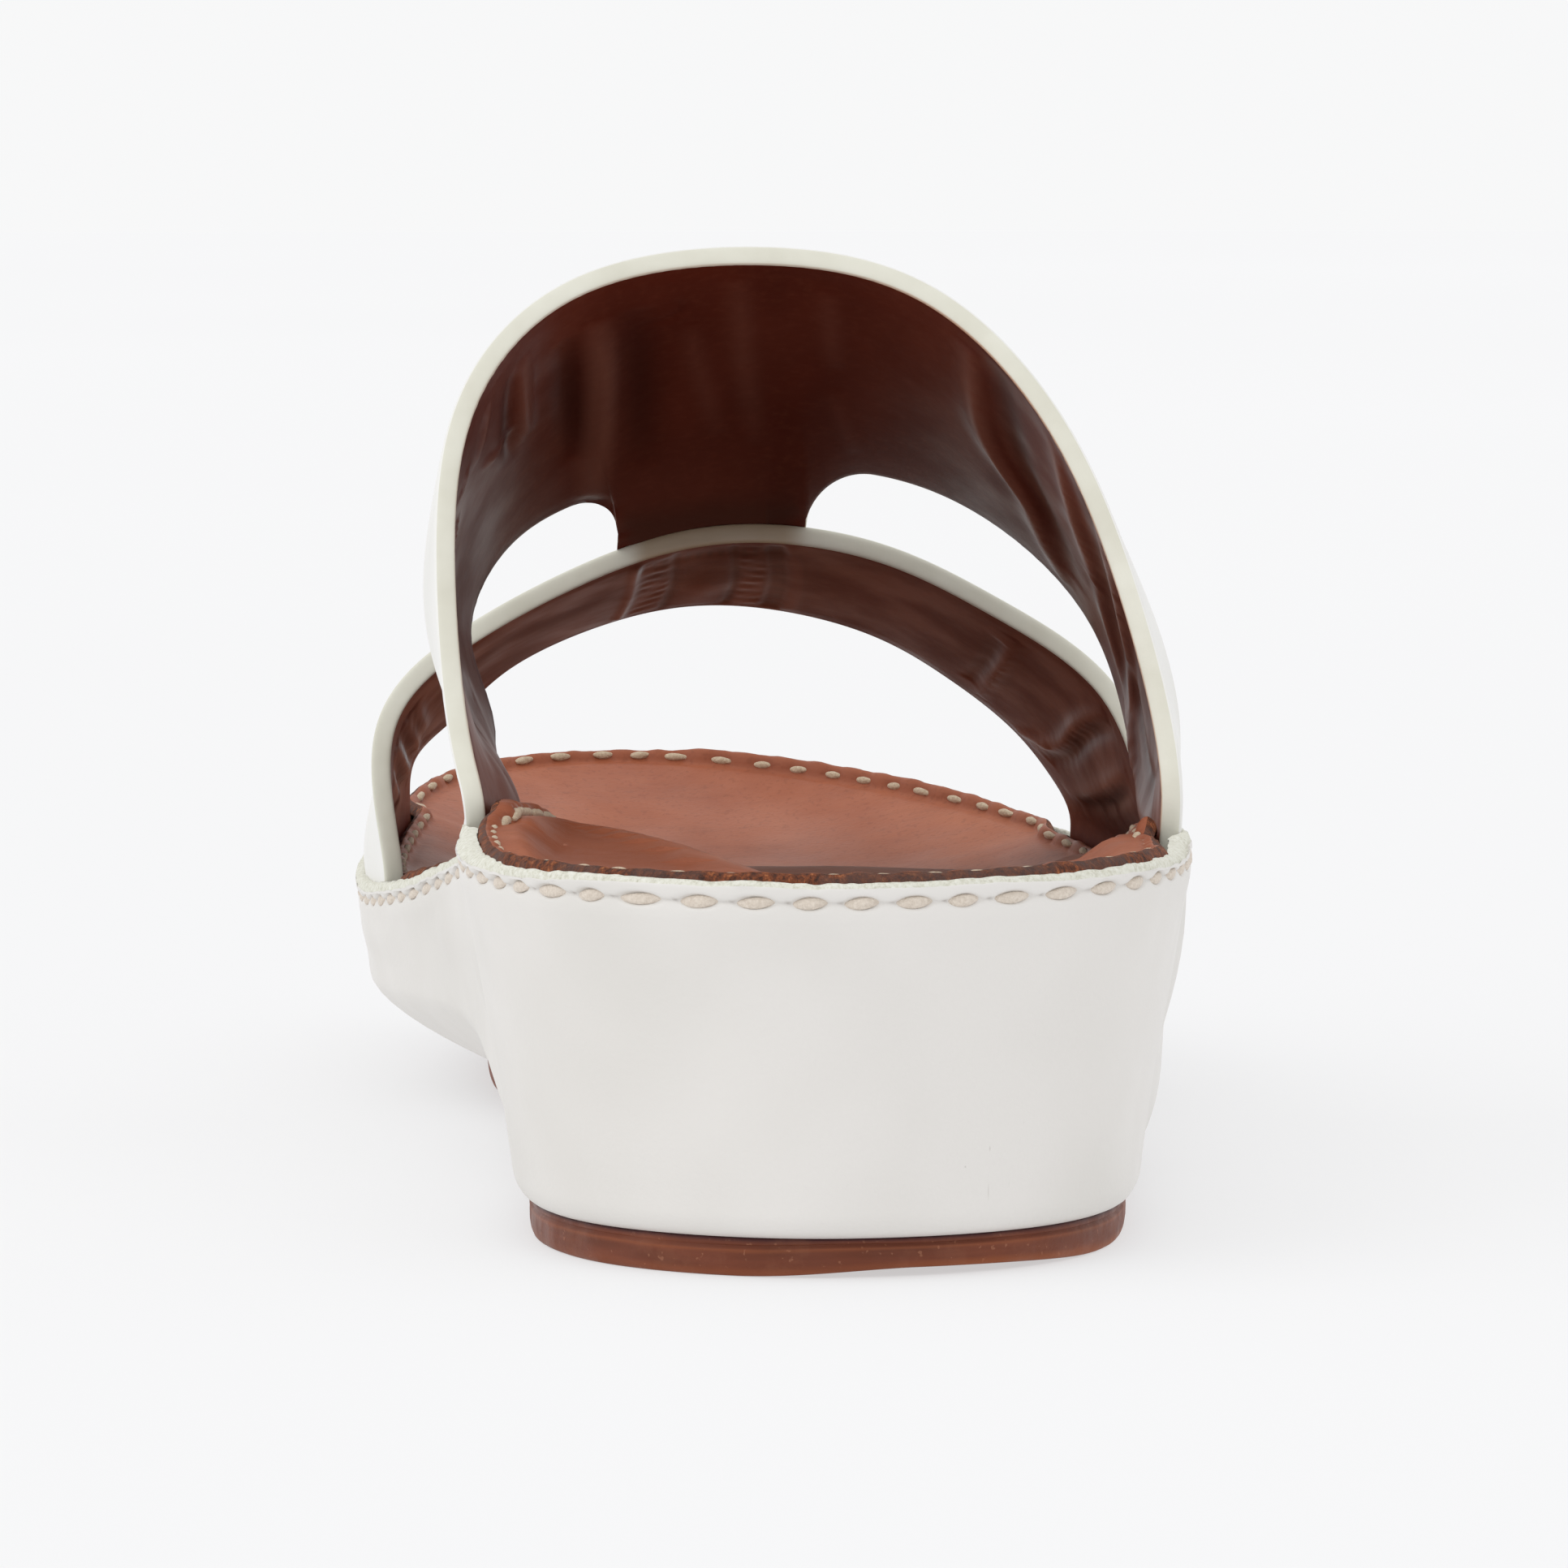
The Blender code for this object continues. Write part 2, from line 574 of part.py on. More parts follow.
def instep_mesh(rim):
    """Lining of the instep strap, its bridge and the tab, as one open sheet."""
    instep = Last(rim, "instep_back", "instep_front")
    toe = Last(rim, "toe_back", "toe_front")
    front = instep.row(1, np.linspace(0, 1, 241))
    split_in = fraction_at(front, BRIDGE_INNER)
    split_out = fraction_at(front, BRIDGE_OUTER)
    ease = np.sin(np.linspace(0, math.pi / 2, LEG_COLUMNS_INNER + 1))
    inner = split_in * (0.55 * ease + 0.45 * np.linspace(0, 1, LEG_COLUMNS_INNER + 1))
    middle = np.linspace(split_in, split_out, BRIDGE_COLUMNS + 1)
    ease = 1 - np.cos(np.linspace(0, math.pi / 2, LEG_COLUMNS_OUTER + 1))
    outer = split_out + (1 - split_out) * (0.55 * ease + 0.45 * np.linspace(0, 1, LEG_COLUMNS_OUTER + 1))
    fractions = np.r_[inner, middle[1:-1], outer]
    width = np.linalg.norm(np.diff(front, axis=0), axis=1).sum()

    first = LEG_COLUMNS_INNER
    last = LEG_COLUMNS_INNER + BRIDGE_COLUMNS
    front_row = instep.row(1, fractions)
    columns_x = front_row[first:last + 1, 0]
    tab = tab_grid(toe, columns_x, (BRIDGE_INNER, BRIDGE_OUTER))
    carry = tab[0] - front_row[first:last + 1]
    carry /= np.linalg.norm(carry, axis=1)[:, None]

    grid = []
    shares = np.linspace(0, 1, INSTEP_ROWS + 1)
    for share in shares:
        row = instep.row(share, fractions)
        for i, fraction in enumerate(fractions):
            if i < first:
                reach = fillet_reach((split_in - fraction) * width, BRIDGE_FILLET_INNER)
                way = carry[0]
            elif i > last:
                reach = fillet_reach((fraction - split_out) * width, BRIDGE_FILLET_OUTER)
                way = carry[-1]
            else:
                side = (i - first) / BRIDGE_COLUMNS
                reach = BRIDGE_FILLET_INNER + (BRIDGE_FILLET_OUTER - BRIDGE_FILLET_INNER) * side
                way = carry[i - first]
            row[i] += way * reach * share**3
        grid.append([tuple(point) for point in row])
    end_row = np.array(grid[-1])[first:last + 1]
    blank = [None] * first
    tail = [None] * (len(fractions) - last - 1)
    grid.append(blank + [tuple(p) for p in (end_row + tab[0]) / 2] + tail)
    for row in tab:
        grid.append(blank + [tuple(p) for p in row] + tail)
    return grid_surface("upper", grid)


def toe_mesh(rim):
    toe = Last(rim, "toe_back", "toe_front")
    fractions = np.linspace(0, 1, TOE_COLUMNS + 1)
    grid = [[tuple(p) for p in toe.row(share, fractions)] for share in np.linspace(0, 1, TOE_ROWS + 1)]
    return grid_surface("toe_strap", grid)


def add_wall(made):
    """Give an open lining its leather thickness, on the outside of the foot."""
    solid = made.modifiers.new("wall", "SOLIDIFY")
    solid.thickness = STRAP_THICKNESS
    solid.offset = 1
    solid.use_even_offset = True


# ---------------------------------------------------------------- build

def main():
    """Make the four pieces, with the origin under the middle of the sandal on the floor."""
    for old in list(bpy.data.objects):
        bpy.data.objects.remove(old, do_unlink=True)
    scene = bpy.context.scene
    sandal = bpy.data.collections.new("arabic_sandal")
    helpers = bpy.data.collections.new("helpers")
    scene.collection.children.link(sandal)
    scene.collection.children.link(helpers)

    white = material("white_leather", (0.74, 0.72, 0.68), 0.42)
    tan = material("tan_leather", (0.36, 0.13, 0.06), 0.45)
    brown = material("brown_sole_leather", (0.17, 0.055, 0.027), 0.5)
    strap = material("strap_leather", (0.78, 0.77, 0.74), 0.4)

    rim = Rim(RIM_COUNT)
    place = (-(rim.x.min() + rim.x.max()) / 2, -LENGTH / 2, 0)
    add_object("outsole", outsole_mesh(rim), sandal, brown, place)
    add_object("wedge", wedge_mesh(rim), sandal, white, place)
    add_object("footbed", footbed_mesh(rim), sandal, tan, place)

    toe = add_object("toe_strap", toe_mesh(rim), helpers, strap, place)
    toe.hide_render = True
    toe.display_type = "WIRE"
    add_wall(toe)
    upper = add_object("upper", instep_mesh(rim), sandal, strap, place)
    add_wall(upper)
    join = upper.modifiers.new("joined_to_toe_strap", "BOOLEAN")
    join.operation = "UNION"
    join.object = toe


main()
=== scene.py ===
"""Looks of the arabic sandal: fine leather surfaces, rim stitching, linings and edges.

The row frame is used throughout: metres, +Y to the toe, +Z up, -X to the big toe side.
Shapes are worked out in the shoe's own frame, whose origin is the back of the heel rim on the
floor, and PLACE carries them into the row frame.
"""
import math

import bmesh
import bpy
import numpy as np
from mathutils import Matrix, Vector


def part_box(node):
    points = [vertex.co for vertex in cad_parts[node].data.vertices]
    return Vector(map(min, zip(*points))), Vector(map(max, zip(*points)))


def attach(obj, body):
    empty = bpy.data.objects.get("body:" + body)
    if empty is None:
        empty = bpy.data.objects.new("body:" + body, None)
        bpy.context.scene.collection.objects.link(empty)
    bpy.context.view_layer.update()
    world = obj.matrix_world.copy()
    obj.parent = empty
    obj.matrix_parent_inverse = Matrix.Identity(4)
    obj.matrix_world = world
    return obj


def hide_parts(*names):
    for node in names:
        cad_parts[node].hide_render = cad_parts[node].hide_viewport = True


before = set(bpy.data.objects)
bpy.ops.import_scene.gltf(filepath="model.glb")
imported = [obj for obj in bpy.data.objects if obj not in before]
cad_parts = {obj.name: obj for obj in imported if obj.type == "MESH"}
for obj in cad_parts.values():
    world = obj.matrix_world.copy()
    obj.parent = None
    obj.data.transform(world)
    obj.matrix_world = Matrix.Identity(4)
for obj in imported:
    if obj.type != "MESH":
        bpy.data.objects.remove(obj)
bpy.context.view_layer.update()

MM = 0.001

# ---------------------------------------------------------------- sizes, as in the frame

WRAP_LIP_OUTER = 0.3 * MM
wedge_low, wedge_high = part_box("wedge")
LENGTH = wedge_high.y - wedge_low.y - 2 * WRAP_LIP_OUTER
BALL_WIDTH = 0.1005
INSTEP_HEIGHT = 0.1058
HEEL_HEIGHT = 0.0413
BALL_HEIGHT = 0.025
SOLE_THICKNESS = 4.2 * MM
STRAP_THICKNESS = 2.4 * MM
TOE_SPRING = 9.5 * MM
SPRING_START = 0.70
SPRING_CURVE = 1.6
ARCH_RISE = 1.8 * MM
ARCH_TUCK = 1.6 * MM
ARCH_SPAN = (0.30, 0.42, 0.46, 0.58)
HEEL_WEAR = 0.9 * MM
WEAR_ACROSS = (-0.24, 0.16)
WEAR_ALONG = (0.030, 0.105)
GAP = 0.3 * MM

HALF_BALL = BALL_WIDTH / 2
SEAM_DROP = HEEL_HEIGHT - BALL_HEIGHT
WRAP_LIP_INNER = 0.6 * MM
LEG_LIP_RISE = 2.0 * MM      # brown lip held up by the inner instep leg
LIP_PEAK = 0.3 * MM          # white lip pulled up behind that leg
LIP_DIP = 0.6 * MM           # and pressed down behind the outer one
TOE_LIP_RISE = 0.7 * MM      # brown lip standing higher round the outer side of the toe
SLOT_DEPTH = 4.0 * MM
LEG_GAP = 0.45 * MM
LEG_MARGIN = 4.0 * MM
LEG_EASE = 7.0 * MM
LEG_FLARE = 0.7 * MM         # inner legs leaning out over the lip
OUTER_FLARE = 0.4 * MM       # outer instep leg
OTHER_FLARE = 0.1 * MM       # outer toe leg
LEG_FREE = 5.4 * MM          # above the seam: from here up the legs follow the foot
INSTEP_BARREL = 2.2 * MM     # legs of the instep strap curving out between their edges
LEAN = 1.8 * MM              # lips leaning in round the heel towards the instep legs
LEG_ROOM = 2.65 * MM         # room that a strap leg takes between the two lips
WAIST_PULL = 1.3 * MM        # inner instep leg and lip drawn in over the waist
OUTER_PULL = 1.9 * MM        # front of the outer instep leg drawn in
OUTER_BACK = 0.5 * MM        # its back edge drawn in
OUTER_LEAN = 1.1 * MM        # brown lip leaning in further behind the outer instep leg
OUTER_SINK = 1.3 * MM        # and standing lower there
FLAP_RISE = 1.7 * MM         # corner of that lip folded up against the leg
TOE_PULL = 1.0 * MM          # inner toe leg drawn in
BED_LIFT = 2.0 * MM          # footbed drawn up to the lip at the inner instep leg
BED_NEAR = 1.5 * MM          # the same where the lips lean in
BED_ROOM = 11.0 * MM         # hollow of the wedge under the footbed and its pressed seat
BED_SKIN = 2.2 * MM          # leather of the footbed

# name, along / LENGTH, across / HALF_BALL
RIM_POINTS = (
    ("heel_back", 0.000, -0.03),
    ("heel_inner_corner", 0.050, -0.598),
    ("heel_inner", 0.175, -0.800),
    ("waist_inner", 0.420, -0.748),
    ("ball_inner", 0.640, -0.977),
    ("toe_joint_inner", 0.843, -0.932),
    ("toe_inner_corner", 0.960, -0.700),
    ("toe_tip", 1.000, -0.270),
    ("toe_outer_corner", 0.932, 0.420),
    ("toe_joint_outer", 0.796, 0.880),
    ("ball_outer", 0.620, 1.005),
    ("waist_outer", 0.390, 0.890),
    ("heel_outer", 0.190, 0.818),
    ("heel_outer_corner", 0.056, 0.592),
)

# along / LENGTH, seam inner side, seam outer side, middle of the footbed
SEAM_INNER, SEAM_OUTER, BED_MIDDLE = 1, 2, 3
RIM_HEIGHTS = (
    (0.000, 0.98, 0.98, 0.80),
    (0.100, 0.99, 1.01, 0.76),
    (0.280, 0.97, 0.93, 0.72),
    (0.385, 0.74, 0.72, 0.44),
    (0.470, 0.47, 0.44, 0.16),
    (0.560, 0.18, 0.17, -0.08),
    (0.650, 0.01, 0.01, -0.20),
    (0.740, 0.03, 0.03, -0.18),
    (0.840, 0.19, 0.18, -0.02),
    (0.940, 0.42, 0.37, 0.17),
    (1.000, 0.52, 0.49, 0.28),
)

# along / LENGTH, then millimetres: inset of the outsole, width and height of the wall's foot,
# and the share of that foot that slopes instead of rounding
SOLE_INSET, FOOT_WIDTH, FOOT_HEIGHT, FOOT_SLOPE = 1, 2, 3, 4
WALL_SHAPE = (
    (0.00, 8.0, 2.4, 3.2, 0.00),
    (0.26, 8.0, 3.0, 3.8, 0.05),
    (0.40, 9.7, 8.2, 6.4, 0.20),
    (0.52, 14.8, 12.4, 11.0, 0.72),
    (0.65, 16.8, 15.5, 10.6, 0.57),
    (0.84, 14.7, 13.3, 10.3, 0.57),
    (1.00, 11.5, 9.8, 10.0, 0.50),
)

WALL_CURVE = 0.9             # below 1 the wall leans in most just under the seam
HEEL_FULLER = 0.6 * MM       # outer side of the heel, where the outsole reaches further out

# along / LENGTH at the inner base, crown and outer base, then (across, height) over the foot
STRAP_EDGES = {
    "instep_back": (0.258, 0.404, 0.244, (
        (-0.768, 0.500), (-0.797, 0.690), (-0.730, 0.860), (-0.490, 0.968), (-0.070, 1.000),
        (0.290, 0.962), (0.555, 0.838), (0.697, 0.682), (0.774, 0.520))),
    "instep_front": (0.488, 0.578, 0.474, (
        (-0.682, 0.462), (-0.736, 0.562), (-0.668, 0.652), (-0.490, 0.712), (-0.090, 0.750),
        (0.275, 0.745), (0.537, 0.692), (0.752, 0.588), (0.836, 0.460))),
    "toe_back": (0.618, 0.613, 0.537, (
        (-0.927, 0.392), (-0.902, 0.462), (-0.785, 0.524), (-0.468, 0.611), (-0.119, 0.661),
        (0.257, 0.643), (0.547, 0.580), (0.808, 0.488), (0.895, 0.380))),
    "toe_front": (0.843, 0.746, 0.794, (
        (-0.846, 0.372), (-0.746, 0.424), (-0.617, 0.485), (-0.368, 0.545), (-0.080, 0.569),
        (0.281, 0.536), (0.498, 0.480), (0.677, 0.413), (0.786, 0.350))),
}
BRIDGE_INNER = -18.5 * MM    # sides of the bridge, across
BRIDGE_OUTER = 4.8 * MM
BRIDGE_FILLET_INNER = 6.5 * MM   # rounding of the cut-outs beside it
BRIDGE_FILLET_OUTER = 8.0 * MM
FILLET_LONG = 1.6            # how much longer the fillets run along the bridge
FILLET_END = 0.86            # share of the bridge that a fillet may take
BRIDGE_TUCK = 1.30 * MM      # outer face drawn in at the bridge's inner side
TAB_SINK = 0.1 * MM          # how deep the bridge's tab is pressed into the toe strap
TAB_SHORT = 3.0 * MM         # its end behind the front edge of that strap
TAB_CORNER = 4.0 * MM        # rounding of its end

# along / LENGTH where a stretch of the rim starts, is whole, starts to end and has ended
STRETCHES = {
    "leaning": (0.075, 0.165, 0.32, 0.42),       # lips lean in round the heel
    "near": (0.075, 0.165, 0.24, 0.30),          # footbed drawn up under the leaning lips
    "held": (0.205, 0.255, 0.46, 0.52),          # lip held up by the inner instep leg
    "waist_pull": (0.28, 0.37, 0.50, 0.56),
    "toe_pull": (0.56, 0.61, 0.84, 0.92),
    "outer_back": (0.14, 0.23, 0.34, 0.42),
    "outer_pull": (0.36, 0.46, 0.50, 0.54),
    "behind": (0.10, 0.15, 0.22, 0.25),          # brown lip behind the outer instep leg
    "sunk": (0.08, 0.17, 0.28, 0.36),
}
FLAP = (0.243, 0.006)        # along / LENGTH: middle and half width of the folded corner
TOE_LIP = (0.84, 0.92)       # where the brown lip rises towards the toe
PEAK = (0.235, 0.022)        # middle and half width of the white lip's peak
DIP = (0.200, 0.080)         # and of its dip on the outer side

# ---------------------------------------------------------------- sizes of the finish

CURVE_STEPS = 240            # samples on each span of a curve
RIM_COUNT = 1400
STITCH_PITCH = 6.15 * MM
STITCH_SPREAD = 0.16         # how unevenly the hand-pulled stitches fall
STITCH_DIP = 0.26            # share of the pitch where the thread is inside the leather
THREAD = 0.60 * MM           # radius of the rim thread
EDGE_BULGE = 0.45 * MM       # painted strap edge standing out
EDGE_STEPS = 9               # strips round that edge
EDGE_CALM = (0.3 * MM, 3.0 * MM)     # from the edge: where creases start and are whole
LINING, OUTER, EDGE = 0, 1, 2    # looks of a strap
INNER_COLUMNS = 110
BRIDGE_COLUMNS = 56
OUTER_COLUMNS = 130
INSTEP_ROWS = 72
TAB_ROWS = 40
TOE_COLUMNS = 440
TOE_ROWS = 84

# Camera, in the shoe's own frame
CAMERA_AT = (-0.05933, -0.99826, 0.130)
CAMERA_TURN = (85.631, 0.0, -2.999)
CAMERA_LENS = 218.012
FLOOR_REACH = 6.0
FLOOR_GLOW = 0.58            # share of the floor's brightness that is its own light
FLOOR_GAP = 0.03 * MM        # the floor lies this much under the sole, never in its plane
SKY = (0.935, 0.937, 0.94, 1)
# name, turn about X and Z in degrees, softness in degrees, strength
LAMPS = (
    ("over", 12, 0, 90, 0.20),
    ("front_left", 52, -68, 60, 0.48),
)


# ---------------------------------------------------------------- curves, tables, noise

def cubic(t, h, start, end, slope_start, slope_end):
    """Hermite cubic over a span of length h, at t from 0 to 1."""
    return ((2 * t**3 - 3 * t**2 + 1) * start + (t**3 - 2 * t**2 + t) * h * slope_start
            + (3 * t**2 - 2 * t**3) * end + (t**3 - t**2) * h * slope_end)


def smooth_curve(points, count, closed=False):
    """Even samples along the smooth cubic curve through the points."""
    knots = np.array(points, dtype=float)
    if closed:
        knots = np.vstack([knots, knots[:1]])
    number = len(knots) - 1
    chord = np.linalg.norm(np.diff(knots, axis=0), axis=1) ** 0.5
    size = number if closed else number + 1
    matrix = np.zeros((size, size))
    right = np.zeros((size, knots.shape[1]))
    for i in range(size):
        if not closed and i in (0, number):
            near = 0 if i == 0 else number - 1
            other = 1 if i == 0 else number - 1
            matrix[i, i] = 2
            matrix[i, other] = 1
            right[i] = 3 * (knots[near + 1] - knots[near]) / chord[near]
            continue
        before, after = chord[i - 1], chord[i % number]
        matrix[i, (i - 1) % size] += after
        matrix[i, i] += 2 * (before + after)
        matrix[i, (i + 1) % size] += before
        step_before = knots[i] - (knots[i - 1] if i else knots[number - 1])
        step_after = knots[i + 1] - knots[i]
        right[i] = 3 * (after * step_before / before + before * step_after / after)
    slope = np.linalg.solve(matrix, right)
    if closed:
        slope = np.vstack([slope, slope[:1]])
    t = np.linspace(0, 1, CURVE_STEPS, endpoint=False)[:, None]
    dense = [cubic(t, chord[i], knots[i], knots[i + 1], slope[i], slope[i + 1]) for i in range(number)]
    dense = np.vstack(dense + [knots[-1:]])
    length = np.r_[0, np.cumsum(np.linalg.norm(np.diff(dense, axis=0), axis=1))]
    wanted = np.linspace(0, length[-1], count + 1)
    if closed:
        wanted = wanted[:-1]
    return np.stack([np.interp(wanted, length, dense[:, k]) for k in range(dense.shape[1])], axis=1)


def table_value(rows, column, at):
    """Smooth value of a table's column at a place given in its first column."""
    x = np.array([row[0] for row in rows])
    y = np.array([row[column] for row in rows])
    at = np.clip(at, x[0], x[-1])
    slope = np.gradient(y, x)
    i = np.clip(np.searchsorted(x, at, side="right") - 1, 0, len(x) - 2)
    h = x[i + 1] - x[i]
    t = (at - x[i]) / h
    return cubic(t, h, y[i], y[i + 1], slope[i], slope[i + 1])


def smooth_step(low, high, value):
    t = np.clip((np.asarray(value, dtype=float) - low) / (high - low), 0, 1)
    return t * t * (3 - 2 * t)


def bump(value, centre, width):
    """Bell of height 1."""
    return np.exp(-((value - centre) / width) ** 2)


def ripple(u, v, cell_u, cell_v, seed, wrap=None):
    """Smooth random height between -1 and 1; wrap closes it after that length of u."""
    random = np.random.default_rng(seed)
    count_u = 256 if wrap is None else max(3, int(round(wrap / cell_u)))
    if wrap is not None:
        cell_u = wrap / count_u
    lattice = random.uniform(-1, 1, (count_u, 256))
    a, b = np.asarray(u) / cell_u, np.asarray(v) / cell_v
    a, b = np.broadcast_arrays(a, b)
    i, j = np.floor(a).astype(int), np.floor(b).astype(int)
    fa, fb = a - i, b - j
    fa = fa * fa * (3 - 2 * fa)
    fb = fb * fb * (3 - 2 * fb)
    i0, i1 = i % count_u, (i + 1) % count_u
    j0, j1 = j % 256, (j + 1) % 256
    low = lattice[i0, j0] * (1 - fa) + lattice[i1, j0] * fa
    high = lattice[i0, j1] * (1 - fa) + lattice[i1, j1] * fa
    return low * (1 - fb) + high * fb


def crinkle(s, wrap, seed, cells=(5.0, 2.2, 1.1), shares=(0.4, 0.35, 0.25)):
    """Uneven line of a raw leather edge along the rim."""
    total = 0
    for k, (cell, share) in enumerate(zip(cells, shares)):
        total = total + share * ripple(s, 0.5 + 3 * k, cell * MM, 1, seed + k, wrap)
    return total


# ---------------------------------------------------------------- heights and rim

def seam_height(x, y):
    inner = table_value(RIM_HEIGHTS, SEAM_INNER, y / LENGTH)
    outer = table_value(RIM_HEIGHTS, SEAM_OUTER, y / LENGTH)
    share = smooth_step(-0.6 * HALF_BALL, 0.6 * HALF_BALL, x)
    return BALL_HEIGHT + SEAM_DROP * (inner + (outer - inner) * share)


def footbed_middle(y):
    return BALL_HEIGHT + SEAM_DROP * table_value(RIM_HEIGHTS, BED_MIDDLE, y / LENGTH)


def sole_lift(y):
    along = y / LENGTH
    spring = TOE_SPRING * np.clip((along - SPRING_START) / (1 - SPRING_START), 0, None) ** SPRING_CURVE
    start, full, fall, end = ARCH_SPAN
    return spring + ARCH_RISE * smooth_step(start, full, along) * smooth_step(end, fall, along)


def sole_bottom(ring):
    across = ring[:, 0] / HALF_BALL
    along = ring[:, 1] / LENGTH
    wear = smooth_step(*WEAR_ACROSS, across) * (1 - smooth_step(*WEAR_ALONG, along))
    return sole_lift(ring[:, 1]) + HEEL_WEAR * wear


def sole_top(ring):
    return sole_lift(ring[:, 1]) + SOLE_THICKNESS


def wall_size(column, y):
    return table_value(WALL_SHAPE, column, y / LENGTH) * MM


def sole_inset(rim):
    """Inset of the outsole's edge from the seam line, all round."""
    outer_side = smooth_step(0, 0.5, rim.x / HALF_BALL)
    at_heel = 1 - smooth_step(0.30, 0.45, rim.y / LENGTH)
    return wall_size(SOLE_INSET, rim.y) - HEEL_FULLER * outer_side * at_heel


def strap_reach(edge, inner_side):
    return STRAP_EDGES[edge][0 if inner_side else 2] * LENGTH


def leg_share(x, y):
    """1 where a strap leg passes down inside the rim, 0 away from the legs."""
    share = np.zeros_like(y)
    for back, front in (("instep_back", "instep_front"), ("toe_back", "toe_front")):
        for inner_side in (True, False):
            start, stop = strap_reach(back, inner_side), strap_reach(front, inner_side)
            window = smooth_step(start - LEG_EASE - LEG_MARGIN, start - LEG_MARGIN, y)
            window = window * smooth_step(stop + LEG_EASE + LEG_MARGIN, stop + LEG_MARGIN, y)
            side = x < 0 if inner_side else x >= 0
            share = np.maximum(share, np.where(side, window, 0))
    return share


def stretch(name, along):
    """1 along a named stretch of the rim, 0 away from it."""
    start, whole, fall, end = STRETCHES[name]
    return smooth_step(start, whole, along) * smooth_step(end, fall, along)


def rim_outline(count):
    """Points round the seam line; its two sides have theirs at the same places along the shoe."""
    points = [(across * HALF_BALL, along * LENGTH) for _, along, across in RIM_POINTS]
    fine = smooth_curve(points, 14000, closed=True)
    fine = np.roll(fine, -int(np.argmin(fine[:, 1])), axis=0)
    toe = int(np.argmax(fine[:, 1]))
    inner_side = fine[:toe + 1]
    outer_side = np.vstack([fine[toe:], fine[:1]])[::-1]
    half = count // 2
    stations = inner_side[np.linspace(0, toe, half + 1).round().astype(int), 1]
    inner_x = np.interp(stations, inner_side[:, 1], inner_side[:, 0])
    outer_x = np.interp(stations, outer_side[:, 1], outer_side[:, 0])
    return np.vstack([np.column_stack([inner_x, stations]),
                      np.column_stack([outer_x, stations])[half - 1:0:-1]])


class Rim:
    """The seam line all round, with what the pieces share at each of its points."""

    def __init__(self, count):
        self.xy = rim_outline(count)
        tangent = np.roll(self.xy, -3, axis=0) - np.roll(self.xy, 3, axis=0)
        tangent /= np.linalg.norm(tangent, axis=1)[:, None]
        self.inward = np.stack([tangent[:, 1], -tangent[:, 0]], axis=1)
        self.x, self.y = self.xy.T
        steps = np.linalg.norm(np.roll(self.xy, -1, axis=0) - self.xy, axis=1)
        self.s = np.r_[0, np.cumsum(steps)[:-1]]
        self.round = steps.sum()
        self.seam = seam_height(self.x, self.y)
        self.leg = leg_share(self.x, self.y)
        middle = np.clip(self.y, 0.14 * LENGTH, 0.84 * LENGTH)
        self.spine = np.stack([np.interp(middle, (0, LENGTH), (0.02 * HALF_BALL, -0.08 * HALF_BALL)),
                               middle], axis=1)
        self.shape_lips(self.y / LENGTH, self.x < 0)

    def shape_lips(self, along, inner):
        """How the two lips and the footbed are drawn in, lean, rise and sink round the rim."""
        start, full, fall, end = ARCH_SPAN
        waist = smooth_step(start - 0.03, full - 0.05, along) * smooth_step(end - 0.04, fall, along)
        self.arch = np.where(inner, waist, 0)
        strap_room = STRAP_THICKNESS + 2 * LEG_GAP - GAP
        set_in = self.leg * strap_room + self.arch * ARCH_TUCK
        self.footbed_inset = WRAP_LIP_INNER + GAP + set_in
        self.slot = self.seam - SLOT_DEPTH * self.leg
        self.lean = stretch("leaning", along) * (1 - self.leg)
        pulled_inner = WAIST_PULL * stretch("waist_pull", along) + TOE_PULL * stretch("toe_pull", along)
        pulled_outer = OUTER_PULL * stretch("outer_pull", along) + OUTER_BACK * stretch("outer_back", along)
        pulled_outer = pulled_outer + OUTER_LEAN * stretch("behind", along)
        self.pulled = np.where(inner, pulled_inner, pulled_outer)
        self.lip_start = 0.1 * MM + LEG_ROOM * self.leg + LEAN * self.lean + self.pulled
        self.lip_start = self.lip_start + self.arch * ARCH_TUCK
        held = stretch("held", along)
        self.held = np.where(inner, held, 0.0)
        flap = FLAP_RISE * bump(along, *FLAP)
        self.lip_rise = np.where(inner, LEG_LIP_RISE * held, flap - OUTER_SINK * stretch("sunk", along))
        at_toe = smooth_step(*TOE_LIP, along) * smooth_step(-10 * MM, 0, self.x)
        self.lip_rise = self.lip_rise + TOE_LIP_RISE * at_toe
        lift = np.maximum(BED_LIFT * held, BED_NEAR * stretch("near", along))
        self.bed_lift = np.where(inner, lift, 0)

    def inset(self, amount):
        return self.xy + self.inward * np.broadcast_to(amount, self.y.shape)[:, None]

    def at(self, place, *columns):
        """Point and inward direction at a length along the rim, then the columns there."""
        place = np.asarray(place) % self.round
        s = np.r_[self.s, self.round]

        def read(values):
            return np.interp(place, s, np.r_[values, values[:1]])

        inward = np.stack([read(self.inward[:, 0]), read(self.inward[:, 1])], axis=-1)
        inward /= np.linalg.norm(inward, axis=-1)[..., None]
        xy = np.stack([read(self.x), read(self.y)], axis=-1)
        return (xy, inward, *(read(column) for column in columns))


def stitch_holes(rim):
    """Places of the needle holes along the rim, uneven as sewn by hand."""
    number = int(round(rim.round / STITCH_PITCH))
    random = np.random.default_rng(11)
    steps = 1 + random.uniform(-STITCH_SPREAD, STITCH_SPREAD, number)
    steps[3] += 0.4
    return np.cumsum(steps) / steps.sum() * rim.round


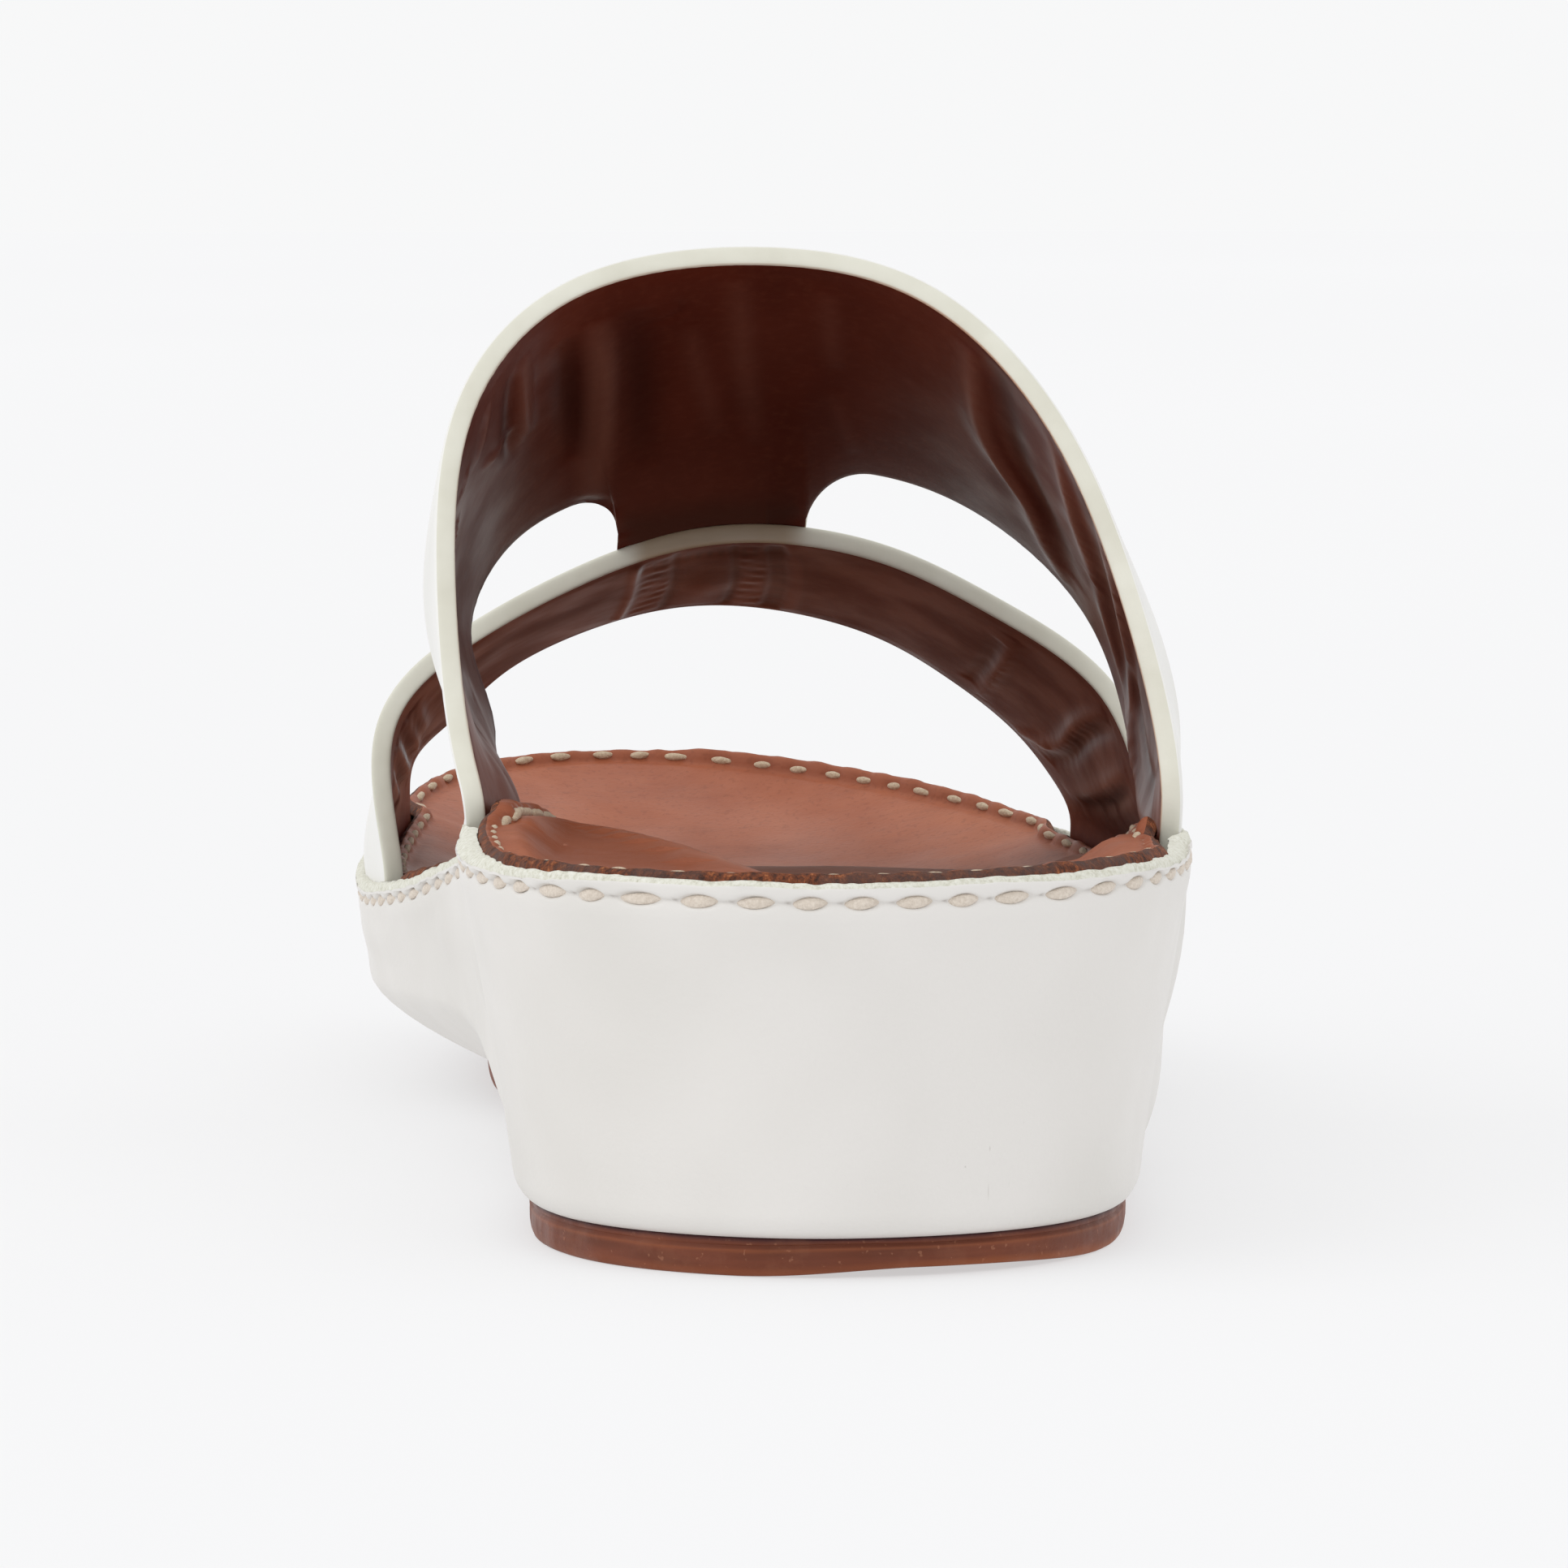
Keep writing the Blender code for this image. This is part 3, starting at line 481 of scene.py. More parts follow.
def stitch_phase(rim, holes):
    """0 at each needle hole, growing to 1 at the next."""
    ends = np.r_[holes[-1] - rim.round, holes]
    i = np.clip(np.searchsorted(ends, rim.s, side="right") - 1, 0, len(ends) - 2)
    return (rim.s - ends[i]) / (ends[i + 1] - ends[i])


def over_stitch(phase, start=STITCH_DIP / 2, stop=1 - STITCH_DIP / 2, power=0.7):
    """1 over the middle of a stitch, 0 between two stitches."""
    return np.sin(np.pi * np.clip((phase - start) / (stop - start), 0, 1)) ** power


# ---------------------------------------------------------------- meshes

PLACE = np.array([0.0, 0.0, 0.0])


def add_mesh(name, points, faces, looks, look_of_face=None, smooth_angle=60):
    """Mesh object from points in the shoe's own frame."""
    mesh = bpy.data.meshes.new(name)
    mesh.from_pydata((np.asarray(points) + PLACE).tolist(), [], faces)
    for look in looks:
        mesh.materials.append(look)
    if look_of_face is not None:
        mesh.polygons.foreach_set("material_index", np.asarray(look_of_face, dtype=np.int32))
    bm = bmesh.new()
    bm.from_mesh(mesh)
    bmesh.ops.recalc_face_normals(bm, faces=bm.faces)
    bm.to_mesh(mesh)
    bm.free()
    mesh.shade_smooth()
    mesh.set_sharp_from_angle(angle=math.radians(smooth_angle))
    made = bpy.data.objects.new(name, mesh)
    bpy.context.scene.collection.objects.link(made)
    return made


def paint(made, name, values):
    """Store a number at each point, for a material to read."""
    layer = made.data.attributes.new(name, "FLOAT", "POINT")
    layer.data.foreach_set("value", np.asarray(values, dtype=np.float32))


def ring_faces(rings, count):
    faces = []
    for r in range(rings - 1):
        base = r * count
        for i in range(count):
            j = (i + 1) % count
            faces.append((base + i, base + j, base + count + j, base + count + i))
    return faces


def spine_faces(base, count, offset):
    """Close a ring on a line of points along its middle; the line has count / 2 + 1 points."""
    half = count // 2
    faces = []
    for i in range(half):
        faces.append((base + i, base + i + 1, offset + i + 1, offset + i))
        faces.append((base + (count - i) % count, base + count - i - 1, offset + i + 1, offset + i))
    return faces


def tidy(made):
    """Weld points that lie on each other and drop the faces that fold up with them."""
    bm = bmesh.new()
    bm.from_mesh(made.data)
    bmesh.ops.remove_doubles(bm, verts=bm.verts, dist=0.002 * MM)
    bmesh.ops.dissolve_degenerate(bm, edges=bm.edges, dist=0.001 * MM)
    bmesh.ops.recalc_face_normals(bm, faces=bm.faces)
    bm.to_mesh(made.data)
    bm.free()


class Skin:
    """Closed skin through rings round the rim, from the bottom up, each with its look and paints."""

    def __init__(self, rim, bottom, *paints):
        self.rim = rim
        self.bottom = bottom
        self.rings = []
        self.kinds = []
        self.paints = {name: [] for name in paints}

    def add(self, ring, height, kind=0, **values):
        self.rings.append(np.column_stack([ring, height]))
        self.kinds.append(kind)
        for name, rows in self.paints.items():
            rows.append(np.broadcast_to(values.get(name, 0), self.rim.y.shape))

    def close(self, name, top, looks):
        """Mesh object; its bottom and top are heights over the spine."""
        count = len(self.rim.x)
        half = count // 2
        number = len(self.rings)
        ends = [np.column_stack([self.rim.spine, height])[:half + 1] for height in (self.bottom, top)]
        caps = spine_faces(0, count, number * count)
        caps += spine_faces((number - 1) * count, count, number * count + half + 1)
        kinds = list(np.repeat(self.kinds[:-1], count)) + [0] * len(caps)
        made = add_mesh(name, np.vstack(self.rings + ends), ring_faces(number, count) + caps, looks, kinds)
        for key, rows in self.paints.items():
            paint(made, key, np.concatenate([np.ravel(rows), np.zeros(half + 1), rows[-1][:half + 1]]))
        tidy(made)
        return made


def tube(path, radii, sides, up=None, twist=0.0, lobes=0, lobe_depth=0.0, flat=1.0):
    """Points and faces of a closed thread along a path, its ends drawn to a point."""
    path = np.asarray(path)
    tangent = np.gradient(path, axis=0)
    tangent /= np.linalg.norm(tangent, axis=1)[:, None]
    up = np.array([0.0, 0.0, 1.0]) if up is None else np.asarray(up)
    side = np.cross(tangent, up)
    side /= np.linalg.norm(side, axis=1)[:, None]
    lift = np.cross(side, tangent)
    angle = np.linspace(0, 2 * np.pi, sides, endpoint=False)
    length = np.r_[0, np.cumsum(np.linalg.norm(np.diff(path, axis=0), axis=1))]
    points = []
    for i in range(len(path)):
        wave = 1 + lobe_depth * np.cos(lobes * angle + twist * length[i])
        radius = radii[i] * wave
        points.append(path[i] + side[i] * (np.cos(angle) * radius * flat)[:, None]
                      + lift[i] * (np.sin(angle) * radius)[:, None])
    points = np.vstack(points)
    faces = ring_faces(len(path), sides)
    faces.append(tuple(range(sides))[::-1])
    faces.append(tuple((len(path) - 1) * sides + k for k in range(sides)))
    return points, faces


def joined(parts):
    """One array of points and one list of faces from several pairs of them."""
    points, faces = [], []
    offset = 0
    for part_points, part_faces in parts:
        points.append(part_points)
        faces += [tuple(i + offset for i in face) for face in part_faces]
        offset += len(part_points)
    return np.vstack(points), faces


# ---------------------------------------------------------------- materials

def srgb(r, g, b):
    """Colour as the shader wants it, from the 0 to 255 values of the finish."""
    def linear(c):
        c = c / 255
        return c / 12.92 if c <= 0.04045 else ((c + 0.055) / 1.055) ** 2.4
    return (linear(r), linear(g), linear(b), 1.0)


class Look:
    """A Principled material and short ways to wire its nodes."""

    def __init__(self, name, roughness=0.5, **fixed):
        self.made = bpy.data.materials.new(name)
        self.made.use_nodes = True
        self.tree = self.made.node_tree
        self.shader = self.tree.nodes["Principled BSDF"]
        self.shader.inputs["Roughness"].default_value = roughness
        for key, value in fixed.items():
            self.shader.inputs[key.replace("_", " ")].default_value = value
        self.place = self.node("ShaderNodeTexCoord").outputs["Object"]

    def node(self, kind, **settings):
        made = self.tree.nodes.new(kind)
        for key, value in settings.items():
            setattr(made, key, value)
        return made

    def wire(self, source, target):
        self.tree.links.new(source, target)

    def stretched(self, x, y, z):
        mapping = self.node("ShaderNodeMapping")
        mapping.inputs["Scale"].default_value = (x, y, z)
        self.wire(self.place, mapping.inputs["Vector"])
        return mapping.outputs["Vector"]

    def noise(self, scale, detail=3.0, rough=0.55, vector=None):
        made = self.node("ShaderNodeTexNoise")
        made.inputs["Scale"].default_value = scale
        made.inputs["Detail"].default_value = detail
        made.inputs["Roughness"].default_value = rough
        self.wire(vector if vector is not None else self.place, made.inputs["Vector"])
        return made.outputs["Fac"]

    def cells(self, scale):
        made = self.node("ShaderNodeTexVoronoi", feature="DISTANCE_TO_EDGE")
        made.inputs["Scale"].default_value = scale
        self.wire(self.place, made.inputs["Vector"])
        return made.outputs["Distance"]

    def attribute(self, name):
        return self.node("ShaderNodeAttribute", attribute_name=name).outputs["Fac"]

    def spot(self, centre, reach):
        """1 at a point of the shoe in millimetres, fading to 0 at the reach along each axis."""
        step = self.place
        change = (("SUBTRACT", np.array(centre) * MM + PLACE), ("DIVIDE", np.array(reach) * MM))
        for operation, numbers in change:
            made = self.node("ShaderNodeVectorMath", operation=operation)
            self.wire(step, made.inputs[0])
            made.inputs[1].default_value = numbers
            step = made.outputs["Vector"]
        length = self.node("ShaderNodeVectorMath", operation="LENGTH")
        self.wire(step, length.inputs[0])
        return self.steps(length.outputs["Value"], 0.3, 1.0, 1.0, 0.0)

    def ramp(self, value, *stops):
        """Stops are (position, colour from 0 to 255) pairs."""
        made = self.node("ShaderNodeValToRGB")
        elements = made.color_ramp.elements
        while len(elements) < len(stops):
            elements.new(0.5)
        for element, (position, colour) in zip(elements, stops):
            element.position = position
            element.color = srgb(*colour)
        self.wire(value, made.inputs["Fac"])
        return made.outputs["Color"]

    def steps(self, value, low, high, to_low=0.0, to_high=1.0):
        made = self.node("ShaderNodeMapRange", interpolation_type="SMOOTHSTEP")
        for key, number in (("From Min", low), ("From Max", high), ("To Min", to_low), ("To Max", to_high)):
            made.inputs[key].default_value = number
        self.wire(value, made.inputs["Value"])
        return made.outputs["Result"]

    def math(self, operation, a, b):
        made = self.node("ShaderNodeMath", operation=operation)
        for socket, value in zip(made.inputs, (a, b)):
            if isinstance(value, (int, float)):
                socket.default_value = value
            else:
                self.wire(value, socket)
        return made.outputs["Value"]

    def mix(self, share, a, b):
        made = self.node("ShaderNodeMix", data_type="RGBA")
        for socket, value in ((made.inputs[0], share), (made.inputs[6], a), (made.inputs[7], b)):
            if isinstance(value, (int, float, tuple)):
                socket.default_value = value
            else:
                self.wire(value, socket)
        return made.outputs[2]

    def tint(self, base, share, colour, strength=1):
        """The base, turned to a colour from 0 to 255 by the share times the strength."""
        if strength != 1:
            share = self.math("MULTIPLY", share, strength)
        return self.mix(share, base, srgb(*colour))

    def colour(self, value):
        self.wire(value, self.shader.inputs["Base Color"])

    def gloss(self, value, low, high):
        """Roughness between two amounts, following an uneven value."""
        self.wire(self.steps(value, 0.3, 0.7, low, high), self.shader.inputs["Roughness"])

    def relief(self, *layers):
        """Bumps, each (height value, strength, distance in metres)."""
        normal = None
        for value, strength, distance in layers:
            made = self.node("ShaderNodeBump")
            made.inputs["Strength"].default_value = strength
            made.inputs["Distance"].default_value = distance
            self.wire(value, made.inputs["Height"])
            if normal is not None:
                self.wire(normal, made.inputs["Normal"])
            normal = made.outputs["Normal"]
        self.wire(normal, self.shader.inputs["Normal"])


# Scratches on the back of the heel: millimetres across, up, and half their length
SCRATCHES = ((15.4, 9.0, 1.7), (17.7, 9.7, 0.7), (15.5, 13.7, 0.5), (19.3, 16.3, 0.4), (12.8, 11.9, 0.2))


def white_leather():
    look = Look("white_leather", roughness=0.5, Coat_Weight=0.06, Coat_Roughness=0.3)
    cloud = look.noise(26, 2.0)
    base = look.ramp(cloud, (0.35, (219, 216, 211)), (0.65, (228, 225, 221)))
    # painted shade in the recesses: the stitch groove, the needle holes and the wall's foot
    base = look.tint(base, look.attribute("dirt"), (120, 104, 92), 0.85)
    for across, up, half in SCRATCHES:
        scratch = look.spot((across, 4.0, up), (0.16, 9.0, half))
        base = look.tint(base, scratch, (178, 172, 165), 0.55)
    look.colour(base)
    look.gloss(look.noise(90, 3.0), 0.42, 0.55)
    look.relief((look.noise(1500, 2.0), 0.10, 0.0004), (look.cells(1000), 0.05, 0.0003),
                (look.noise(120, 3.0), 0.10, 0.0010))
    return look.made


def strap_leather():
    look = Look("strap_leather", roughness=0.42, Coat_Weight=0.1, Coat_Roughness=0.25)
    cloud = look.noise(30, 2.0)
    look.colour(look.ramp(cloud, (0.35, (228, 227, 222)), (0.65, (236, 235, 232))))
    look.gloss(look.noise(80, 3.0), 0.36, 0.48)
    look.relief((look.cells(900), 0.07, 0.0003), (look.noise(1600, 2.0), 0.08, 0.0003),
                (look.noise(70, 3.0), 0.08, 0.0012))
    return look.made


def painted_edge():
    look = Look("painted_edge", roughness=0.4, Coat_Weight=0.15, Coat_Roughness=0.3)
    cloud = look.noise(110, 3.0)
    base = look.ramp(cloud, (0.3, (211, 209, 194)), (0.7, (223, 222, 209)))
    # tan glue with painted shade on the toe strap's back edge under the bridge
    base = look.tint(base, look.attribute("stain_and_shade"), (176, 156, 128), 0.9)
    base = look.tint(base, look.attribute("cut_line"), (196, 136, 92), 0.85)
    look.colour(base)
    look.gloss(look.noise(300, 2.0), 0.34, 0.5)
    look.relief((look.noise(700, 3.0), 0.12, 0.0003), (look.noise(150, 2.0), 0.15, 0.0008))
    return look.made


def raw_white_edge():
    look = Look("raw_white_edge", roughness=0.75)
    fibres = look.noise(1800, 4.0, 0.7)
    base = look.ramp(fibres, (0.3, (196, 194, 176)), (0.5, (222, 221, 208)),
                     (0.72, (236, 236, 228)))
    look.colour(base)
    look.gloss(fibres, 0.65, 0.85)
    look.relief((fibres, 0.5, 0.0004), (look.noise(600, 3.0, 0.6), 0.4, 0.0007))
    return look.made


def raw_brown_edge():
    look = Look("raw_brown_edge", roughness=0.75, Specular_IOR_Level=0.25)
    fibres = look.noise(1300, 4.0, 0.75, look.stretched(1, 1, 0.45))
    base = look.ramp(fibres, (0.34, (50, 27, 20)), (0.46, (92, 50, 32)),
                     (0.58, (134, 74, 44)), (0.70, (176, 112, 70)))
    burnt = look.steps(look.noise(150, 2.0), 0.48, 0.60)
    base = look.tint(base, burnt, (86, 64, 58), 0.65)
    look.colour(base)
    look.gloss(fibres, 0.65, 0.85)
    look.relief((fibres, 0.8, 0.0006), (look.noise(450, 3.0, 0.6), 0.7, 0.0010))
    return look.made


def footbed_leather():
    look = Look("footbed_leather", roughness=0.5, Specular_IOR_Level=0.2)
    cloud = look.noise(40, 4.0, 0.6)
    base = look.ramp(cloud, (0.3, (150, 84, 58)), (0.52, (164, 96, 68)), (0.72, (174, 106, 76)))
    pores = look.steps(look.noise(1300, 2.0), 0.56, 0.66)
    base = look.tint(base, pores, (92, 44, 28), 0.20)
    grain = look.noise(150, 4.0, 0.65, look.stretched(0.5, 2.2, 1))
    base = look.tint(base, look.steps(grain, 0.5, 0.75, 0.0, 0.18), (108, 62, 46))
    # wear with painted shade: greyer brown over the heel seat's hollow and the bed's middle under the
    # straps
    base = look.tint(base, look.attribute("rub"), (104, 76, 66), 0.80)
    # painted shading: darker orange-brown on the slope up to the seat's inner crest and over the brown
    # lip's face, most in the dips between its puffs
    base = look.tint(base, look.attribute("crest"), (128, 66, 40), 0.65)
    look.colour(base)
    look.gloss(look.noise(70, 3.0), 0.42, 0.56)
    look.relief((look.cells(1100), 0.10, 0.0003), (look.noise(1400, 2.0), 0.12, 0.0003),
                (look.noise(160, 4.0, 0.6), 0.10, 0.0010))
    return look.made


def lining_leather():
    look = Look("lining_leather", roughness=0.42)
    look.wire(look.steps(look.attribute("dull"), 0, 1, 0.13, 0.02),
              look.shader.inputs["Specular IOR Level"])
    streaks = look.noise(40, 3.0, 0.5, look.stretched(1.4, 0.6, 0.6))
    base = look.ramp(streaks, (0.3, (82, 30, 19)), (0.5, (94, 37, 24)), (0.7, (106, 46, 31)))
    grain = look.noise(700, 3.0, 0.6)
    base = look.tint(base, look.steps(grain, 0.45, 0.75, 0.0, 0.25), (122, 66, 48))
    # painted shade in the creases' troughs, the patch's seams and gutter, and where the bridge meets the
    # toe strap
    base = look.tint(base, look.attribute("fold"), (48, 16, 12), 0.75)
    # painted highlight with some rubbing: lighter on the creases' ridges, the legs and the patch's bands
    base = look.tint(base, look.attribute("rub_and_highlight"), (156, 106, 88), 0.6)
    look.colour(base)
    look.gloss(look.noise(90, 3.0, 0.5), 0.32, 0.46)
    look.relief((look.noise(1200, 3.0), 0.05, 0.0003), (look.noise(200, 2.0, 0.5), 0.05, 0.0006))
    return look.made


def sole_leather():
    look = Look("sole_leather", roughness=0.5, Specular_IOR_Level=0.25)
    layers = look.noise(40, 3.0, 0.6, look.stretched(1, 1, 9))
    base = look.ramp(layers, (0.3, (98, 50, 32)), (0.5, (112, 58, 38)), (0.7, (126, 68, 45)))
    flecks = look.steps(look.noise(900, 2.0, 0.7), 0.64, 0.70)
    base = look.tint(base, flecks, (172, 118, 90), 0.35)
    base = look.tint(base, look.attribute("rim_line"), (66, 32, 34))
    # painted highlight with some wear: lighter orange along the edge's lower corner, more on the outer
    # side, and on its ridge line
    base = look.tint(base, look.attribute("edge_rub"), (172, 96, 50), 0.7)
    scuffed = look.steps(look.noise(170, 4.0, 0.7), 0.5, 0.66)
    scuffed = look.math("MULTIPLY", scuffed, look.attribute("scuffed"))
    base = look.tint(base, scuffed, (158, 104, 78), 0.18)
    look.colour(base)
    look.gloss(look.noise(200, 3.0), 0.42, 0.62)
    look.relief((look.noise(260, 4.0, 0.65, look.stretched(1, 1, 5)), 0.14, 0.0006),
                (look.noise(1400, 2.0), 0.10, 0.0003))
    return look.made


def thread_look(name, dark, light):
    look = Look(name, roughness=0.8, Sheen_Weight=0.15)
    fibres = look.noise(2600, 3.0, 0.7)
    look.colour(look.ramp(fibres, (0.3, dark), (0.7, light)))
    look.gloss(fibres, 0.7, 0.9)
    look.relief((fibres, 0.6, 0.0003))
    return look.made


def floor_look():
    """Pale paper that gives off part of its brightness as its own glow, so that the shoe's shadow stays
    light.
    """
    look = Look("studio_floor", roughness=0.95, Specular_IOR_Level=0.0)
    look.shader.inputs["Emission Color"].default_value = (0.936, 0.937, 0.940, 1.0)
    look.shader.inputs["Emission Strength"].default_value = FLOOR_GLOW
    tone = look.noise(0.6, 2.0)
    look.colour(look.ramp(tone, (0.3, (160, 160, 161)), (0.7, (162, 162, 163))))
    return look.made


# ---------------------------------------------------------------- sole pieces

SOLE_OVER = 0.02 * MM        # the visible sole covers the solid's top by this
WALL_OVER = 0.06 * MM        # and the wall starts this much above it
WALL_TOP = -2.2 * MM         # end of the wall, from the seam

# out of the edge in millimetres, height as a share of the sole's thickness
SOLE_EDGE = (
    (-0.16, 0.03), (0.00, 0.12), (0.10, 0.28), (0.12, 0.45), (0.10, 0.60), (0.14, 0.68),
    (0.10, 0.73), (-0.10, 0.77), (-0.12, 0.81), (0.04, 0.84), (0.10, 0.90), (0.06, 0.97), (-0.10, 1.01),
)


def outsole(rim, looks):
    edge_in = sole_inset(rim)
    edge = rim.inset(edge_in)
    tuck = rim.inset(edge_in + 0.5 * MM)
    low, high = sole_bottom(edge), sole_top(edge) + SOLE_OVER
    wave = ripple(rim.s, 0.3, 9 * MM, 1, 31, rim.round)
    nick = crinkle(rim.s, rim.round, 35, (3.0, 1.3, 0.8))
    right = smooth_step(0.0, 0.4 * HALF_BALL, rim.x)
    skin = Skin(rim, sole_bottom(rim.spine), "rim_line", "edge_rub", "scuffed")
    for share in (0.55, 0.25, 0.1, 0.03, 0.0):
        ring = tuck + (rim.spine - tuck) * share
        skin.add(ring, sole_bottom(ring), scuffed=1 - share)
    for out, up in SOLE_EDGE:
        rough = 0.06 * wave + 0.035 * nick * (1 if up < 0.5 else 0.4)
        ring = rim.inset(edge_in - (out + rough) * MM)
        shake = 0.10 * MM * ripple(rim.s, 7 * up, 12 * MM, 1, 32, rim.round) * (0.3 < up < 0.95)
        shake = shake + 0.07 * MM * nick * (0.03 < up < 0.4)
        # painted highlight on the lower corner, stronger on the outer side, and on the ridge line, with
        # some wear
        wear_and_light = smooth_step(0.30, 0.05, up) * (0.25 + 0.35 * right) + 0.30 * bump(up, 0.68, 0.04)
        skin.add(ring, low + (high - low) * up + shake,
                 rim_line=smooth_step(0.88, 0.94, up), edge_rub=wear_and_light, scuffed=0.6)
    lid = rim.inset(edge_in + 2 * MM)
    skin.add(lid, sole_top(lid) + SOLE_OVER, rim_line=1)
    return skin.close("fine_outsole", sole_top(rim.spine), looks)


# out of the seam line and above it in millimetres, then what a stitch adds to each over its
# thread.  The wall runs up to the first rows, the groove holds the thread and the cut edge of
# the leather closes the lip.
WRAP_PROFILE = (
    (0.12, -2.20, 0.00, 0.00, "white"),
    (0.15, -1.70, 0.03, 0.00, "white"),
    (0.18, -1.20, 0.04, -0.10, "white"),
    (0.16, -0.70, 0.06, -0.32, "white"),
    (0.12, -0.38, -0.02, -0.44, "white"),
    (0.04, -0.20, -0.28, -0.46, "white"),
    (-0.04, -0.08, -0.50, -0.20, "white"),
    (-0.02, 0.00, -0.50, 0.20, "white"),
    (0.10, 0.06, -0.20, 0.52, "white"),
    (0.26, 0.14, -0.06, 0.58, "white"),
    (0.44, 0.36, 0.00, 0.46, "white"),
    (0.52, 0.80, 0.00, 0.22, "white"),
    (0.55, 1.20, 0.00, 0.04, "white"),
    (0.55, 1.50, 0.00, 0.00, "white"),
    (0.50, 1.64, 0.00, 0.00, "raw"),
    (0.36, 1.86, 0.00, 0.00, "raw"),
    (0.16, 2.04, 0.00, 0.00, "raw"),
    (-0.08, 2.16, 0.00, 0.00, "raw"),
    (-0.34, 2.20, 0.00, 0.00, "raw"),
    (-0.56, 2.04, 0.00, 0.00, "raw"),
    (-0.62, 1.00, 0.00, 0.00, "raw"),
)


def wall_waves(rim, up):
    """The wall's leather is not quite even."""
    large = ripple(rim.s, up, 26 * MM, 12 * MM, 51, rim.round)
    small = ripple(rim.s, up, 7 * MM, 5 * MM, 52, rim.round)
    return (0.16 * large + 0.05 * small) * MM


def add_wall(skin, rim, swell):
    """The rounded or sloping foot of the wall, then the wall up to the stitches."""
    total = sole_inset(rim)
    foot_width = wall_size(FOOT_WIDTH, rim.y)
    foot_height = wall_size(FOOT_HEIGHT, rim.y)
    slope = table_value(WALL_SHAPE, FOOT_SLOPE, rim.y / LENGTH)
    floor = sole_top(rim.inset(total)) + WALL_OVER
    under = rim.inset(total + 3 * MM)
    skin.add(under, sole_top(under))
    for turn in np.radians(np.linspace(0, 90, 10)):
        out = math.sin(turn)
        up = slope * out + (1 - slope) * (1 - math.cos(turn))
        bulge = wall_waves(rim, foot_height * up) * smooth_step(0.1, 0.8, out)
        # painted shade along the wall's foot, where it tucks in onto the sole
        skin.add(rim.inset(total - foot_width * out - bulge), floor + foot_height * up,
                 dirt=0.2 * (1 - smooth_step(0.0, 0.12, out)))
    foot = floor + foot_height
    top = rim.seam + WALL_TOP
    for up in np.linspace(0, 1, 14)[1:-1]:
        fuller = 0.75 * rim.leg * smooth_step(0.3, 0.85, up)
        inset = (total - foot_width) * (1 - up) ** WALL_CURVE * (1 - fuller)
        pucker = (1 - swell) * smooth_step(0.75, 1.0, up) * 0.10 * MM
        bulge = wall_waves(rim, foot_height + (top - foot) * up) + 0.10 * MM * smooth_step(0.5, 1, up)
        skin.add(rim.inset(inset - bulge + pucker), foot + (top - foot) * up)


def add_white_lip(skin, rim, phase, swell):
    """Stitch groove and the scalloped, raw-edged lip above it."""
    cut = crinkle(rim.s, rim.round, 60, (9.0, 3.4, 1.6))
    cut_fine = crinkle(rim.s, rim.round, 70, (2.0, 1.1, 0.8))
    tilt = np.clip(0.35 + 0.5 * ripple(rim.s, 0.4, 16 * MM, 1, 75, rim.round), 0, 1)
    tilt = np.maximum(tilt, smooth_step(0.40, 0.80, np.abs(rim.x) / HALF_BALL))
    flat_side = np.where(rim.x > 0, rim.lean, 0)
    along = rim.y / LENGTH
    peak = np.where(rim.x < 0, LIP_PEAK / MM * bump(along, *PEAK), -LIP_DIP / MM * bump(along, *DIP))
    for out, up, swell_out, swell_up, kind in WRAP_PROFILE:
        raw = kind == "raw"
        high = smooth_step(0.8, 1.5, up)
        rough = 0.16 * cut_fine * (1 + 0.5 * math.sin(9 * up)) if raw else 0.05 * cut
        out_mm = out + swell_out * swell + rough + 0.14 * cut * high
        up_mm = up + swell_up * swell + (0.30 * cut + 0.14 * cut_fine) * high + 0.07 * cut
        up_mm = up_mm - 0.80 * tilt * bump(up, 1.50, 0.30) + peak * smooth_step(0.6, 1.6, up)
        out_mm = out_mm - flat_side * 0.4 * smooth_step(-0.2, 0.4, up)
        out_mm = out_mm - rim.lean * 1.5 * smooth_step(1.55, 2.2, up)
        if raw:
            out_mm = out_mm + rim.leg * np.clip(0.25 - out, 0, 0.45)
            out_mm = out_mm - rim.leg * rim.pulled / MM * smooth_step(0.2, -0.5, out)
        # painted shade in the stitch groove, darkest at each needle hole
        groove_shade = 0.5 * bump(phase, 0.93, 0.04) * bump(up, 0.0, 0.14) + 0.05 * bump(up, -0.05, 0.14)
        skin.add(rim.inset(-out_mm * MM), rim.seam + up_mm * MM, int(raw), dirt=groove_shade)


def wedge(rim, phase, looks):
    """The wedge in its leather wrap, hollow on top where the footbed lies."""
    swell = over_stitch(phase)
    skin = Skin(rim, sole_top(rim.spine) + WALL_OVER, "dirt")
    add_wall(skin, rim, swell)
    add_white_lip(skin, rim, phase, swell)
    slot = np.minimum(rim.slot, rim.seam - 2.3 * MM)
    skin.add(rim.inset(WRAP_LIP_INNER), slot)
    skin.add(rim.inset(rim.footbed_inset + 2 * MM), slot)
    skin.add(rim.inset(rim.footbed_inset + 3 * MM), rim.seam - BED_ROOM)
    return skin.close("fine_wedge", footbed_middle(rim.spine[:, 1]) - BED_ROOM, looks)


